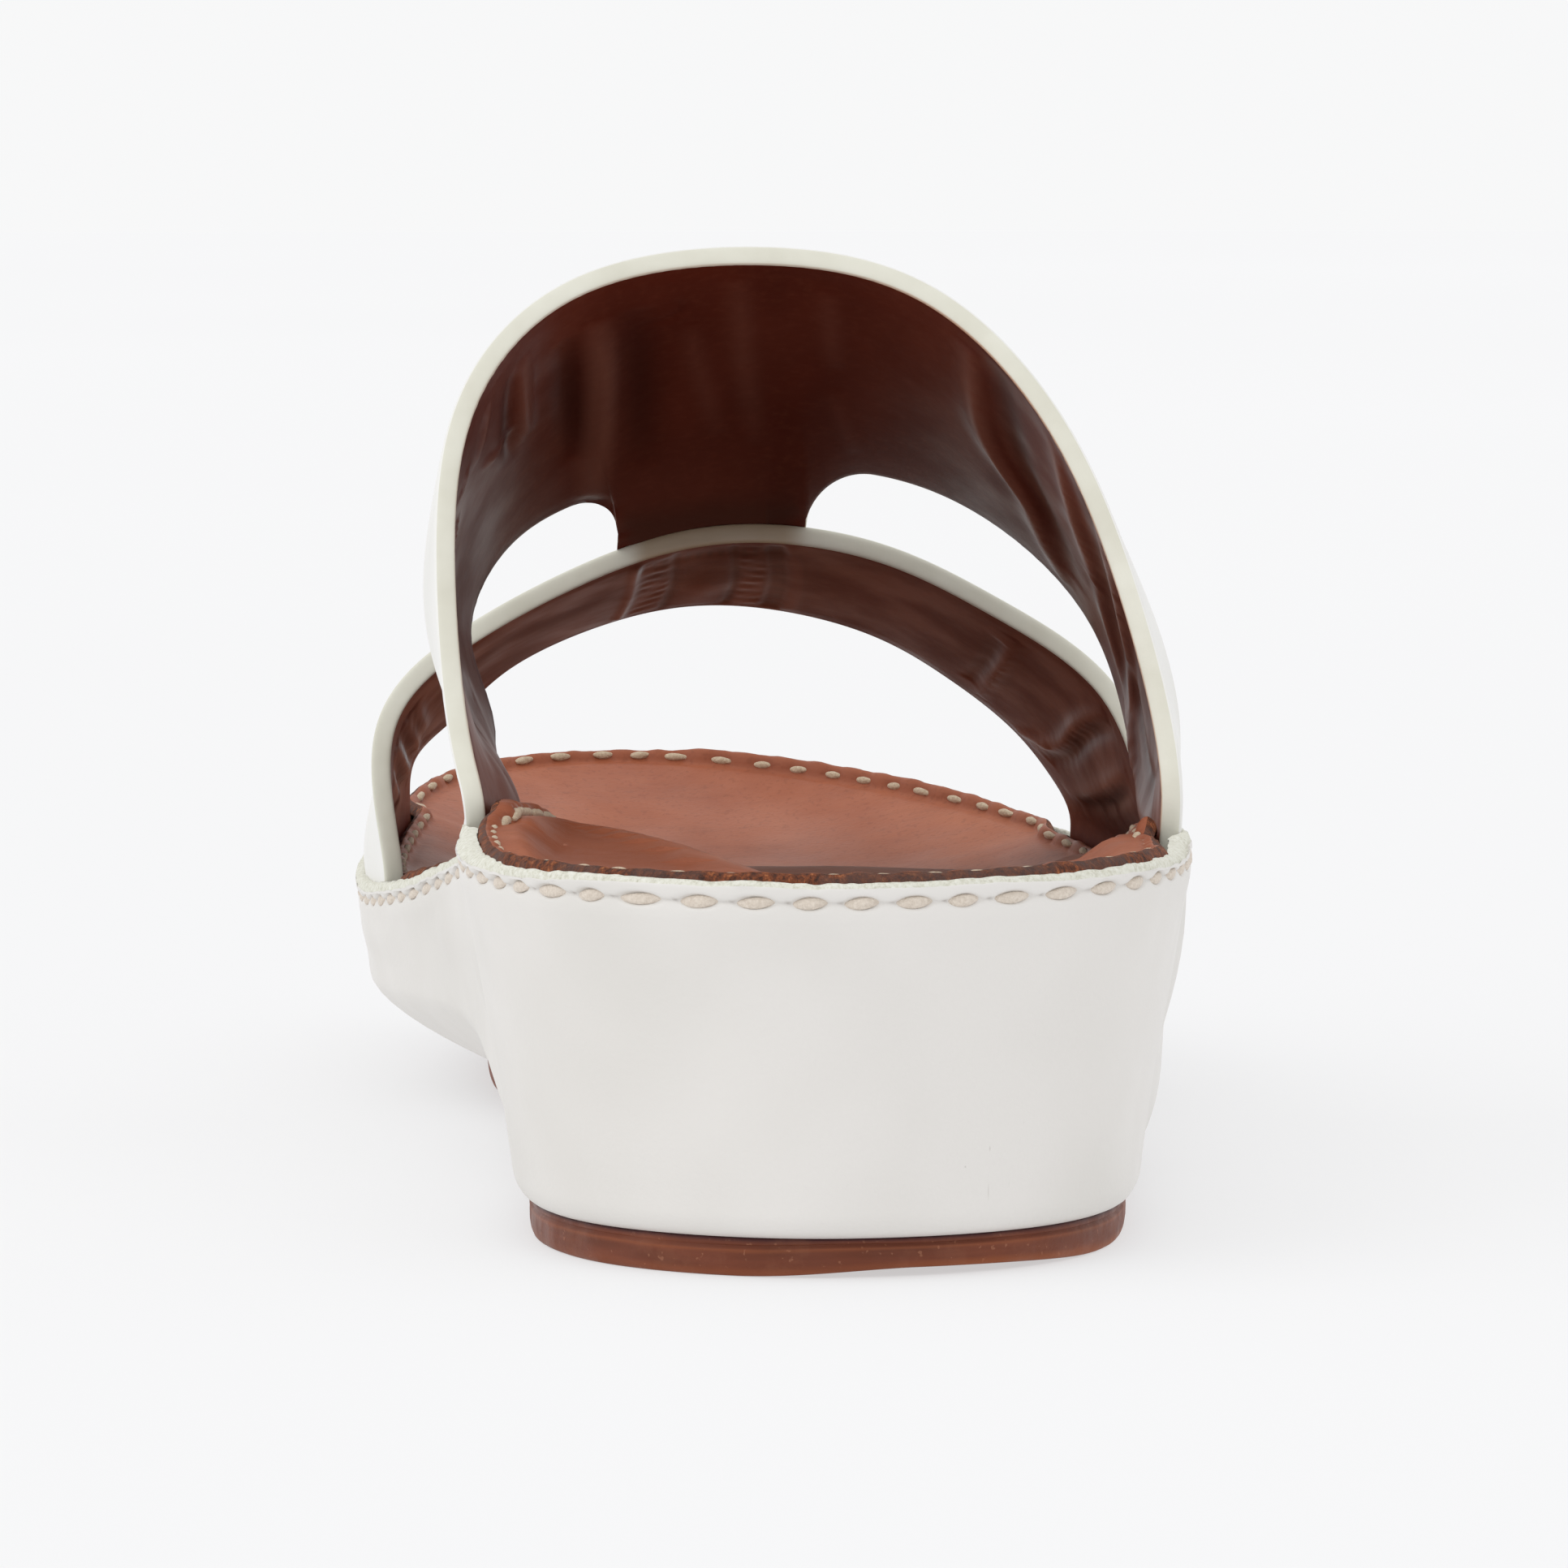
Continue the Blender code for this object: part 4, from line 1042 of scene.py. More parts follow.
# Heel seat pressed into the footbed: its two crests and how high they stay.
# along / LENGTH, inner crest across / HALF_BALL, outer crest, millimetres above HEEL_HEIGHT
SEAT_INNER, SEAT_OUTER, SEAT_LEVEL = 1, 2, 3
HEEL_SEAT = (
    (0.000, 0.090, 0.210, 0.60),
    (0.028, -0.030, 0.280, 0.50),
    (0.060, -0.120, 0.360, 0.35),
    (0.112, -0.210, 0.430, 0.20),
    (0.174, -0.285, 0.500, 0.05),
    (0.244, -0.360, 0.700, 0.30),
    (0.307, -0.510, 0.800, 0.90),
    (0.340, -0.700, 0.820, 1.60),
    (0.420, -0.740, 0.830, 1.00),
)
SEAT_DEPTH = 6.2 * MM
SEAT_FALL_INNER = 23 * MM
SEAT_FALL_OUTER = 13 * MM
SEAT_SAG = 0.5 * MM
SEAT_END = (0.32, 0.44)      # along / LENGTH: the seat runs out into the footbed

# out of the footbed's edge and above the seam in millimetres, then what the puff between two
# inside stitches adds, and the share of the lift at the inner instep leg
BED_PROFILE = (
    (-1.40, 0.90, 0.00, 0.00, 0.0, "edge"),
    (-0.80, 1.30, 0.00, 0.00, 0.4, "edge"),
    (0.00, 1.70, 0.00, 0.00, 1.0, "edge"),
    (0.05, 2.00, 0.00, 0.00, 1.0, "edge"),
    (-0.04, 2.30, 0.00, 0.00, 1.0, "edge"),
    (-0.20, 2.56, 0.00, 0.00, 1.0, "edge"),
    (-0.42, 2.78, 0.00, 0.02, 1.0, "edge"),
    (-0.68, 2.96, 0.00, 0.06, 1.0, "edge"),
    (-0.90, 3.02, 0.00, 0.12, 1.0, "face"),
    (-1.18, 2.94, -0.05, 0.20, 1.0, "face"),
    (-1.44, 2.72, -0.20, 0.22, 1.0, "face"),
    (-1.62, 2.40, -0.38, 0.16, 1.0, "face"),
    (-1.74, 2.06, -0.46, 0.02, 0.9, "face"),
    (-1.92, 1.80, -0.36, -0.04, 0.8, "face"),
    (-2.24, 1.62, -0.18, -0.02, 0.7, "face"),
    (-2.70, 1.46, -0.04, 0.00, 0.7, "face"),
    (-3.20, 1.34, 0.00, 0.00, 0.7, "face"),
    (-3.80, 1.22, 0.00, 0.00, 0.7, "face"),
)
BED_LIP_WIDTH = 3.80 * MM
BED_EDGE = 1.22 * MM         # bed above the seam where the lip's profile ends
BED_BLEND = 0.25 * MM        # softness of the turn from lip to bed
BED_SHARES = (0.02, 0.05, 0.09, 0.14, 0.20, 0.26, 0.33, 0.40, 0.48, 0.56, 0.66, 0.78, 0.90)


def seat_value(column, y):
    return table_value(HEEL_SEAT, column, y / LENGTH)


def bed_surface(rim, ring, share, level):
    """Height of the footbed's leather at a share of the way in from its lip."""
    fall = np.minimum(share / 0.85, 1)
    curve = 1 - (1 - fall) ** 2.2
    curve = curve + (smooth_step(0.25, 0.95, fall) - curve) * rim.arch
    x, y = ring[:, 0], ring[:, 1]
    plain = level + (footbed_middle(y) - level) * curve
    crest = HEEL_HEIGHT + seat_value(SEAT_LEVEL, y) * MM
    crest = crest - 0.8 * MM * smooth_step(0.0, 0.5, x / HALF_BALL) * smooth_step(0.06, 0.18, y / LENGTH)
    inner = x - seat_value(SEAT_INNER, y) * HALF_BALL
    outer = seat_value(SEAT_OUTER, y) * HALF_BALL - x
    drop = smooth_step(0, SEAT_FALL_INNER, inner) * smooth_step(0, SEAT_FALL_OUTER, outer)
    edge = 1 - smooth_step(0, 0.16, share)
    shelf = crest + (level - crest) * edge - SEAT_SAG * smooth_step(0, 0.3, share) * (inner < 0)
    seat = shelf - SEAT_DEPTH * drop
    along = y / LENGTH
    return plain + (seat - plain) * (1 - smooth_step(*SEAT_END, along)), drop, inner


def add_brown_lip(skin, rim, phase, level):
    """The footbed's own lip: raw edge, crown and the puffs between the inside stitches."""
    start = rim.lip_start
    puff = over_stitch(phase, 0.20, 0.80, 0.6)
    cut = crinkle(rim.s, rim.round, 80, (10.0, 4.0, 2.0))
    cut_fine = crinkle(rim.s, rim.round, 90, (2.6, 1.2, 0.8))
    pleat = crinkle(rim.s, rim.round, 95, (3.0, 1.6, 1.1))
    folded = np.maximum(rim.held, 0.35 * rim.leg)
    for out, up, puff_out, puff_up, carry, kind in BED_PROFILE:
        is_edge = kind == "edge"
        rise = smooth_step(1.2, 2.6, up)
        rough = 0.16 * cut_fine * (1 + 0.6 * math.sin(7 * up)) if is_edge else 0.05 * cut
        wider = 1.0 * rim.held * smooth_step(-0.7, -1.6, out) * (1 - smooth_step(-1.9, -3.8, out))
        out_mm = out - wider + puff_out * puff + rough + 0.34 * pleat * folded * smooth_step(1.4, 2.2, up)
        up_mm = up + puff_up * puff * (1 - 0.7 * rim.held) + (0.24 * cut + 0.12 * cut_fine) * rise
        height = rim.seam + up_mm * MM + rim.lip_rise * rise * carry
        if out < -1.0:
            floor = level - 0.02 * MM * (out + BED_LIP_WIDTH / MM)
            over = height - floor
            height = floor + 0.5 * (over + np.sqrt(over**2 + BED_BLEND**2))
        # painted shade over the upper face of the lip, most in the dips between the puffs
        deep = 0.0 if is_edge else 0.75 * bump(up, 2.1, 0.35) * (1 - puff) + 0.5 * rise
        skin.add(rim.inset(start - out_mm * MM), height, int(is_edge), crest=deep)


def add_bed(skin, rim, edge, level):
    """The bed inside the lip, with the pressed heel seat; greyer brown over the seat's hollow and the
    middle of the bed, partly wear from the foot and partly painted shade under the straps.
    """
    for share in BED_SHARES:
        ring = edge + (rim.spine - edge) * share
        height, drop, inner = bed_surface(rim, ring, share, level)
        height = height + 0.16 * MM * ripple(ring[:, 0] + 1, ring[:, 1] + 1, 14 * MM, 9 * MM, 96)
        along = ring[:, 1] / LENGTH
        at_heel = 1 - smooth_step(*SEAT_END, along)
        middle = 0.75 * smooth_step(0.05, 0.55, share) * smooth_step(0.95, 0.70, along)
        # greyer brown: wear from the foot, with painted shade over the seat's hollow and under the straps
        wear_and_light = at_heel * smooth_step(0.05, 0.60, drop) + (1 - at_heel) * middle
        # painted shading on the slope that rises to the seat's inner crest
        crest = smooth_step(6 * MM, -4 * MM, inner) * at_heel * smooth_step(0.0, 0.1, share)
        skin.add(ring, height, rub=wear_and_light, crest=crest)


def footbed(rim, phase, looks):
    edge = rim.inset(rim.lip_start + BED_LIP_WIDTH)
    level = rim.seam + BED_EDGE + rim.bed_lift
    skin = Skin(rim, footbed_middle(rim.spine[:, 1]) - BED_SKIN, "rub", "crest")
    for share in (0.5, 0.0):
        ring = edge + (rim.spine - edge) * share
        height, _, _ = bed_surface(rim, ring, share, level)
        skin.add(ring, height - BED_SKIN)
    skin.add(rim.inset(rim.lip_start + 2.2 * MM), rim.seam - 0.6 * MM)
    add_brown_lip(skin, rim, phase, level)
    level = level + BED_BLEND / 2
    add_bed(skin, rim, edge, level)
    top, _, _ = bed_surface(rim, rim.spine, np.ones_like(rim.y), level)
    return skin.close("fine_footbed", top, looks)


# ---------------------------------------------------------------- rim stitching

def rim_thread(rim, holes, looks):
    """Outside stitches: a flat twisted lens of thread from hole to hole, leaning a little."""
    random = np.random.default_rng(21)
    parts = []
    ends = np.r_[holes[-1] - rim.round, holes]
    t = np.linspace(0, 1, 17)
    high = np.sin(np.pi * t)
    for start, stop in zip(ends, ends[1:]):
        dip = 0.42 * STITCH_DIP * (stop - start)
        place = start + dip + (stop - start - 2 * dip) * t
        xy, inward, seam = rim.at(place, rim.seam)
        lean = random.uniform(0.10, 0.26)
        inset = (0.62 - 0.58 * high**0.6) * MM
        z = seam + (-0.02 - 0.06 * high - lean * (2 * t - 1) * 0.8) * MM
        size = THREAD * random.uniform(0.94, 1.08)
        radii = size * (0.22 + 0.82 * high**0.75)
        path = np.column_stack([xy + inward * inset[:, None], z])
        parts.append(tube(path, radii, 12, twist=2 * np.pi / (5 * MM), lobes=2, lobe_depth=0.07, flat=0.72))
    points, faces = joined(parts)
    return add_mesh("rim_thread", points, faces, looks)


def footbed_thread(rim, holes, looks):
    """What shows of the same seam inside the lip; at the inner instep leg it runs on, slanted."""
    random = np.random.default_rng(22)
    parts = []
    ends = np.r_[holes, holes[0] + rim.round]
    t = np.linspace(0, 1, 13)
    rise = np.sin(np.pi * t) ** 0.6
    for hole, following in zip(ends, ends[1:]):
        pitch = following - hole
        _, _, held = rim.at(np.array([hole]), rim.held)
        held = float(held[0])
        half = random.uniform(0.24, 0.29) * pitch + 0.27 * pitch * held
        place = hole + half * (2 * t - 1)
        xy, inward, seam, start, lift, lip = rim.at(place, rim.seam, rim.lip_start, rim.bed_lift,
                                                    np.minimum(rim.lip_rise, 0))
        slant = (random.uniform(-0.10, 0.10) + 0.35 * held) * (2 * t - 1)
        inset = start + (1.46 + 0.22 * rise + 1.3 * held) * MM
        past = smooth_step(0.222, 0.232, xy[:, 1] / LENGTH)
        z = seam + (2.45 + slant - 0.10 * held) * MM + 0.45 * lift * held + 1.2 * lip
        z = np.maximum(z, seam + (lift + 1.60 * MM) * past)
        radii = (0.20 + (0.30 + 0.12 * held) * rise) * MM
        path = np.column_stack([xy + inward * inset[:, None], z])
        parts.append(tube(path, radii, 10, twist=2 * np.pi / (3 * MM), lobes=2, lobe_depth=0.10))
    points, faces = joined(parts)
    return add_mesh("footbed_thread", points, faces, looks)


# ---------------------------------------------------------------- straps

def leg_flare(y, inner_side):
    """How far a strap leg leans out over the lip."""
    if y < 0.50 * LENGTH:
        return LEG_FLARE if inner_side else OUTER_FLARE
    return LEG_FLARE if inner_side and y < 0.70 * LENGTH else OTHER_FLARE


class Last:
    """Lining surface over the foot, between two strap edges."""

    def __init__(self, rim, back, front):
        self.rim = rim
        self.back = STRAP_EDGES[back]
        self.front = STRAP_EDGES[front]
        self.barrel = INSTEP_BARREL if back == "instep_back" else 0.0

    def base(self, y, inner_side):
        """Points of a leg between the two lips, from its end in the slot up."""
        rim = self.rim
        side = np.where((rim.x < 0) == inner_side)[0]
        order = side[np.argsort(rim.y[side])]
        pick = [np.interp(y, rim.y[order], values[order]) for values in
                (rim.x, rim.y, rim.inward[:, 0], rim.inward[:, 1], rim.seam, rim.lip_start)]
        x, along, nx, ny, seam, start = pick
        inset = start - 0.15 * MM
        flare = leg_flare(y, inner_side)
        levels = ((2 * GAP - SLOT_DEPTH, 0), (1.4 * MM, 0.5 * flare), (LEG_FREE, flare))
        return [(x + nx * (inset - out), along + ny * (inset - out), seam + up) for up, out in levels]

    def section(self, share):
        """Points over the foot at a share of the way from the back edge to the front edge."""
        def mixed(index):
            return self.back[index] + (self.front[index] - self.back[index]) * share

        inner, crown, outer = (mixed(i) * LENGTH for i in range(3))
        leg_in = self.base(inner, True)
        leg_out = self.base(outer, False)
        top = max(up for _, up in self.back[3]) * (1 - share) + max(up for _, up in self.front[3]) * share
        nodes = []
        for (xa, za), (xb, zb) in zip(self.back[3], self.front[3]):
            x = (xa + (xb - xa) * share) * HALF_BALL
            z = (za + (zb - za) * share) * INSTEP_HEIGHT
            inner_side = x < -0.1 * HALF_BALL
            entry = (leg_in if inner_side else leg_out)[-1]
            start = inner if inner_side else outer
            rise = np.clip((z - entry[2]) / (top * INSTEP_HEIGHT - entry[2]), 0, 1)
            x += math.exp(-max(z - entry[2], 0) / (4 * MM)) * self.rim_swell(share, inner_side)
            low, full = (0.08, 0.36) if inner_side else (-0.05, 0.20)
            on_leg = smooth_step(low, full, rise) * (1 - smooth_step(0.45, 0.85, rise))
            x += (-1 if inner_side else 1) * self.barrel * 4 * share * (1 - share) * on_leg
            nodes.append((x, start + (crown - start) * rise, z))
        return leg_in + nodes + leg_out[::-1]

    def rim_swell(self, share, inner_side):
        """How far the rim stands out from a straight line between the leg's two edges."""
        side = 0 if inner_side else 2
        ends = self.back[side] * LENGTH, self.front[side] * LENGTH
        start, stop = (self.base(end, inner_side)[0][0] for end in ends)
        here = self.base(ends[0] + (ends[1] - ends[0]) * share, inner_side)[0][0]
        return here - (start + (stop - start) * share)

    def row(self, share, fractions):
        curve = smooth_curve(self.section(share), 700)
        place = np.linspace(0, 1, len(curve))
        return np.stack([np.interp(fractions, place, curve[:, k]) for k in range(3)], axis=1)


def fraction_at(curve, x):
    place = np.linspace(0, 1, len(curve))
    middle = (place > 0.2) & (place < 0.8)
    return float(np.interp(x, curve[middle, 0], place[middle]))


def fillet_reach(distance, radius):
    if distance >= radius:
        return 0.0
    return radius - math.sqrt(radius**2 - (radius - distance) ** 2)


def surface_normals(grid):
    along = np.gradient(grid, axis=0)
    across = np.gradient(grid, axis=1)
    normal = np.cross(across, along)
    return normal / np.linalg.norm(normal, axis=2)[:, :, None]


def tab_grid(toe, columns_x, end_x):
    shares = np.linspace(0, 1, 31)
    fractions = np.linspace(0.12, 0.88, 160)
    surface = np.array([toe.row(share, fractions) for share in shares])
    surface = surface + surface_normals(surface) * (STRAP_THICKNESS - TAB_SINK)
    half = (end_x[1] - end_x[0]) / 2
    centre = (end_x[1] + end_x[0]) / 2
    grid = np.zeros((TAB_ROWS + 1, len(columns_x), 3))
    for i, x in enumerate(columns_x):
        profile = np.array([[np.interp(x, line[:, 0], line[:, k]) for k in range(3)] for line in surface])
        corner = TAB_CORNER * (1 - math.sqrt(max(0, 1 - (abs(x - centre) / half) ** 6 * 0.97)))
        end = profile[-1, 1] - TAB_SHORT - corner
        y = np.linspace(profile[0, 1], end, TAB_ROWS + 1)
        grid[:, i] = np.stack([np.interp(y, profile[:, 1], profile[:, k]) for k in range(3)], axis=1)
    return grid


def instep_fractions(split_in, split_out):
    """Places of the columns from the inner to the outer base; those of the bridge are even."""
    even_in = np.linspace(0, 1, INNER_COLUMNS + 1)
    even_out = np.linspace(0, 1, OUTER_COLUMNS + 1)
    inner = split_in * (0.35 * np.sin(even_in * math.pi / 2) + 0.65 * even_in)
    middle = np.linspace(split_in, split_out, BRIDGE_COLUMNS + 1)
    outer = 0.35 * (1 - np.cos(even_out * math.pi / 2)) + 0.65 * even_out
    return np.r_[inner, middle[1:-1], split_out + (1 - split_out) * outer]


def bridge_pull(fractions, split_in, split_out, width, carry, span):
    """How far the front edge runs out into the two fillets and the bridge, column by column."""
    pull = np.zeros((len(fractions), 3))
    for i, fraction in enumerate(fractions):
        on_bridge = min(max(i - INNER_COLUMNS, 0), BRIDGE_COLUMNS)
        if i < INNER_COLUMNS:
            reach = fillet_reach((split_in - fraction) * width, BRIDGE_FILLET_INNER)
        elif i > INNER_COLUMNS + BRIDGE_COLUMNS:
            reach = fillet_reach((fraction - split_out) * width, BRIDGE_FILLET_OUTER)
        else:
            side = on_bridge / BRIDGE_COLUMNS
            reach = BRIDGE_FILLET_INNER + (BRIDGE_FILLET_OUTER - BRIDGE_FILLET_INNER) * side
        pull[i] = carry[on_bridge] * min(reach * FILLET_LONG, FILLET_END * span[on_bridge])
    return pull


def instep_grid(rim):
    """Lining of the instep strap, its bridge and the tab; empty places hold not-a-number."""
    instep = Last(rim, "instep_back", "instep_front")
    toe = Last(rim, "toe_back", "toe_front")
    front = instep.row(1, np.linspace(0, 1, 701))
    splits = fraction_at(front, BRIDGE_INNER), fraction_at(front, BRIDGE_OUTER)
    fractions = instep_fractions(*splits)
    width = np.linalg.norm(np.diff(front, axis=0), axis=1).sum()
    bridge = slice(INNER_COLUMNS, INNER_COLUMNS + BRIDGE_COLUMNS + 1)
    front_row = instep.row(1, fractions)[bridge]
    tab = tab_grid(toe, front_row[:, 0], (BRIDGE_INNER, BRIDGE_OUTER))
    carry = tab[0] - front_row
    span = np.linalg.norm(carry, axis=1)
    pull = bridge_pull(fractions, *splits, width, carry / span[:, None], span)
    rows = [instep.row(share, fractions) + pull * share**4 for share in np.linspace(0, 1, INSTEP_ROWS + 1)]
    end_row = rows[-1][bridge]
    between = [end_row + (tab[0] - end_row) * mix for mix in (0.2, 0.4, 0.6, 0.8)]
    for part in (*between, *tab):
        row = np.full((len(fractions), 3), np.nan)
        row[bridge] = part
        rows.append(row)
    return np.array(rows), fractions, tab


def toe_grid(rim):
    toe = Last(rim, "toe_back", "toe_front")
    fractions = np.linspace(0, 1, TOE_COLUMNS + 1)
    rows = [toe.row(share, fractions) for share in np.linspace(0, 1, TOE_ROWS + 1)]
    return np.array(rows), fractions


# Creases of the linings.  u runs along the strap from its inner to its outer base, v from its
# back edge (0) to its front edge (1).
# strap, width mm, ridge mm towards the foot (minus is a trough), tilt mm (one side up), (u, v)...
CREASES = (
    ("instep", 2.6, 0.75, 0.25, ((0.400, 0.14), (0.398, 0.42), (0.383, 0.70), (0.365, 0.99))),
    ("instep", 2.2, -0.45, 0.0, ((0.378, 0.16), (0.374, 0.45), (0.362, 0.75))),
    ("instep", 2.4, -0.40, 0.0, ((0.424, 0.14), (0.422, 0.45), (0.410, 0.80))),
    ("instep", 1.4, 0.22, 0.0, ((0.455, 0.25), (0.465, 0.73))),
    ("instep", 1.6, 0.26, 0.08, ((0.487, 0.05), (0.492, 0.78))),
    ("instep", 1.2, 0.16, 0.0, ((0.545, 0.58), (0.555, 0.89))),
    ("instep", 1.4, 0.20, 0.0, ((0.537, 0.10), (0.545, 0.47))),
    ("instep", 0.9, 0.42, 0.1, ((0.310, 0.10), (0.300, 0.20), (0.288, 0.30))),
    ("instep", 0.8, 0.40, 0.1, ((0.330, 0.38), (0.307, 0.42), (0.295, 0.37))),
    ("instep", 0.8, 0.45, 0.1, ((0.256, 0.38), (0.243, 0.42), (0.228, 0.47))),
    ("instep", 0.9, -0.40, 0.0, ((0.252, 0.33), (0.236, 0.36), (0.222, 0.42))),
    ("instep", 0.9, 0.36, 0.1, ((0.274, 0.22), (0.262, 0.28), (0.246, 0.27))),
    ("instep", 1.4, 0.45, 0.2, ((0.348, 0.10), (0.343, 0.30), (0.340, 0.50))),
    ("instep", 1.3, -0.35, 0.0, ((0.331, 0.12), (0.325, 0.30), (0.318, 0.55))),
    ("instep", 0.5, -0.14, 0.0, ((0.450, 0.13), (0.448, 0.20), (0.425, 0.24))),
    ("instep", 2.4, 0.65, 0.5, ((0.635, 0.06), (0.667, 0.50), (0.698, 0.62), (0.718, 0.80), (0.743, 0.95))),
    ("instep", 2.2, 0.55, 0.45, ((0.715, 0.03), (0.735, 0.25), (0.758, 0.53), (0.772, 0.70))),
    ("instep", 2.4, 0.60, 0.5, ((0.780, 0.0), (0.787, 0.30), (0.812, 0.63), (0.858, 0.87), (0.915, 0.97))),
    ("instep", 2.6, -0.50, 0.0, ((0.655, 0.02), (0.690, 0.45), (0.722, 0.66), (0.745, 0.86))),
    ("instep", 2.4, -0.45, 0.0, ((0.750, 0.05), (0.775, 0.45), (0.800, 0.75), (0.850, 0.97))),
    ("instep", 4.0, 0.60, 0.0, ((0.110, 0.98), (0.085, 0.75), (0.055, 0.42))),
    ("instep", 3.0, -0.45, 0.2, ((0.150, 0.80), (0.120, 0.50), (0.080, 0.20))),
    ("instep", 1.7, 0.55, 0.1, ((0.770, 0.66), (0.800, 0.85), (0.850, 0.92), (0.905, 0.94), (0.940, 0.84),
                                (0.970, 0.50))),
    ("instep", 1.6, -0.50, 0.0, ((0.800, 0.68), (0.840, 0.80), (0.890, 0.82), (0.930, 0.68),
                                 (0.955, 0.45))),
    ("toe", 1.5, 0.50, 0.2, ((0.728, 0.10), (0.736, 0.40), (0.752, 0.72), (0.772, 0.93))),
    ("toe", 1.3, -0.40, 0.0, ((0.718, 0.20), (0.726, 0.50), (0.742, 0.85))),
    ("toe", 1.5, 0.65, 0.2, ((0.824, 0.05), (0.818, 0.24), (0.821, 0.44), (0.833, 0.64), (0.838, 0.78),
                             (0.850, 0.95))),
    ("toe", 1.4, -0.55, 0.0, ((0.834, 0.05), (0.829, 0.25), (0.832, 0.44), (0.846, 0.66), (0.860, 0.90))),
    ("toe", 1.0, 0.40, 0.1, ((0.838, 0.74), (0.829, 0.86), (0.828, 0.97))),
    ("toe", 1.6, 0.45, 0.1, ((0.876, 0.08), (0.876, 0.32), (0.882, 0.60), (0.905, 0.94))),
    ("toe", 1.3, -0.45, 0.0, ((0.890, 0.12), (0.890, 0.40), (0.902, 0.70), (0.918, 0.92))),
    ("toe", 1.0, 0.30, 0.0, ((0.905, 0.86), (0.930, 0.90))),
    ("toe", 1.0, 0.30, 0.0, ((0.890, 0.66), (0.915, 0.72))),
    ("toe", 1.0, 0.28, 0.0, ((0.884, 0.45), (0.912, 0.52))),
    ("toe", 1.7, 0.75, 0.2, ((0.186, 0.12), (0.178, 0.36), (0.168, 0.62))),
    ("toe", 1.7, 0.80, 0.2, ((0.172, 0.10), (0.165, 0.30), (0.156, 0.60), (0.142, 0.88))),
    ("toe", 1.7, 0.80, 0.2, ((0.150, 0.08), (0.140, 0.32), (0.126, 0.66), (0.108, 0.94))),
    ("toe", 1.6, 0.70, 0.2, ((0.122, 0.12), (0.108, 0.38), (0.088, 0.74))),
    ("toe", 1.2, -0.60, 0.0, ((0.180, 0.10), (0.172, 0.34), (0.162, 0.62), (0.150, 0.90))),
    ("toe", 1.2, -0.60, 0.0, ((0.161, 0.10), (0.152, 0.34), (0.140, 0.66), (0.124, 0.94))),
    ("toe", 1.2, -0.60, 0.0, ((0.136, 0.10), (0.124, 0.36), (0.108, 0.70), (0.090, 0.94))),
)


# Where the tab is sewn down, the toe strap's lining shows a patch: u of its two sides at the
# strap's back edge, then at its front edge
PATCH_BACK = (0.404, 0.519)
PATCH_FRONT = (0.409, 0.560)
PATCH_RIBS = 9
# lightening of the legs' linings: rubbing with painted sheen
LEG_RUB_AND_SHEEN_INNER = 0.50         # how far the legs' linings have lightened
LEG_RUB_AND_SHEEN_OUTER = 0.25


def window(value, start, stop, soft=0.02):
    return smooth_step(start, start + soft, value) * smooth_step(stop, stop - soft, value)


def toe_patch(u, v):
    """Height towards the foot in millimetres, painted shade, and painted highlight with rubbing, of the
    sewn patch.
    """
    left, right = (back + (front - back) * v for back, front in zip(PATCH_BACK, PATCH_FRONT))
    c = (u - left) / (right - left)
    inside = window(c, -0.02, 1.03, 0.04)
    bands = window(c, 0.00, 0.23, 0.05) + window(c, 0.66, 0.86, 0.05)
    gutter = window(c, 0.84, 1.01, 0.05)
    seams = bump(c, 0.245, 0.035) + bump(c, 0.645, 0.032)
    drift = 0.35 * np.sin(2 * np.pi * (3 * c + 0.7 * v))
    wave = np.sin(2 * np.pi * PATCH_RIBS * v + drift * 2)
    uneven = 0.6 + 0.4 * np.sin(2 * np.pi * (5.3 * c + 2.1 * v))
    folds = bump(c, -0.045, 0.035) + 0.4 * bump(c, 1.05, 0.05)
    height = 0.05 * wave * bands * uneven - 0.16 * seams - 0.20 * gutter + 0.30 * folds
    height = height + 0.45 * bump(c, 0.44, 0.14) * bump(v, 0.70, 0.24)
    height = height - 0.15 * bump(v, 0.14, 0.07) * inside
    knots = 0.65 + 0.35 * np.sin(2 * np.pi * 13 * c)
    # painted shade in the patch's seams, gutter, stitch groove, along its front and between its ribs
    shade = 1.2 * seams + gutter * (0.85 + 0.15 * wave) + 1.1 * knots * bump(v, 0.15, 0.07) * inside
    shade = shade + 0.6 * bump(v, 0.98, 0.025) * inside
    shade = shade + 0.50 * bands * smooth_step(0.2, -1.0, wave) * uneven
    # painted highlight on the patch's ribbed bands, its folds, its middle and a streak beside it
    rub_and_highlight = 0.70 * bands * smooth_step(0.2, 0.9, v) * (0.8 + 0.2 * wave)
    rub_and_highlight = rub_and_highlight + 0.9 * folds * smooth_step(0, 0.3, v)
    rub_and_highlight = rub_and_highlight + 0.95 * bump(c, 0.42, 0.13) * bump(v, 0.82, 0.20)
    rub_and_highlight = rub_and_highlight + 0.8 * bump(u, 0.345, 0.035) * smooth_step(0.45, 1.0, v)
    shade = np.maximum(shade, 0.45 * bump(c, 0.5, 1.1) * (rub_and_highlight < 0.2))
    return height, np.clip(shade, 0, 1), np.clip(rub_and_highlight, 0, 1)


def bridge_shade(inner, outer):
    """Painted shade on the lining where the bridge, between its two sides, runs down onto the toe strap."""
    def marks(u, v):
        on_bridge = window(u, inner, outer, 0.01)
        return np.zeros_like(u), 0.95 * on_bridge * smooth_step(0.90, 1.0, v), np.zeros_like(u)
    return marks


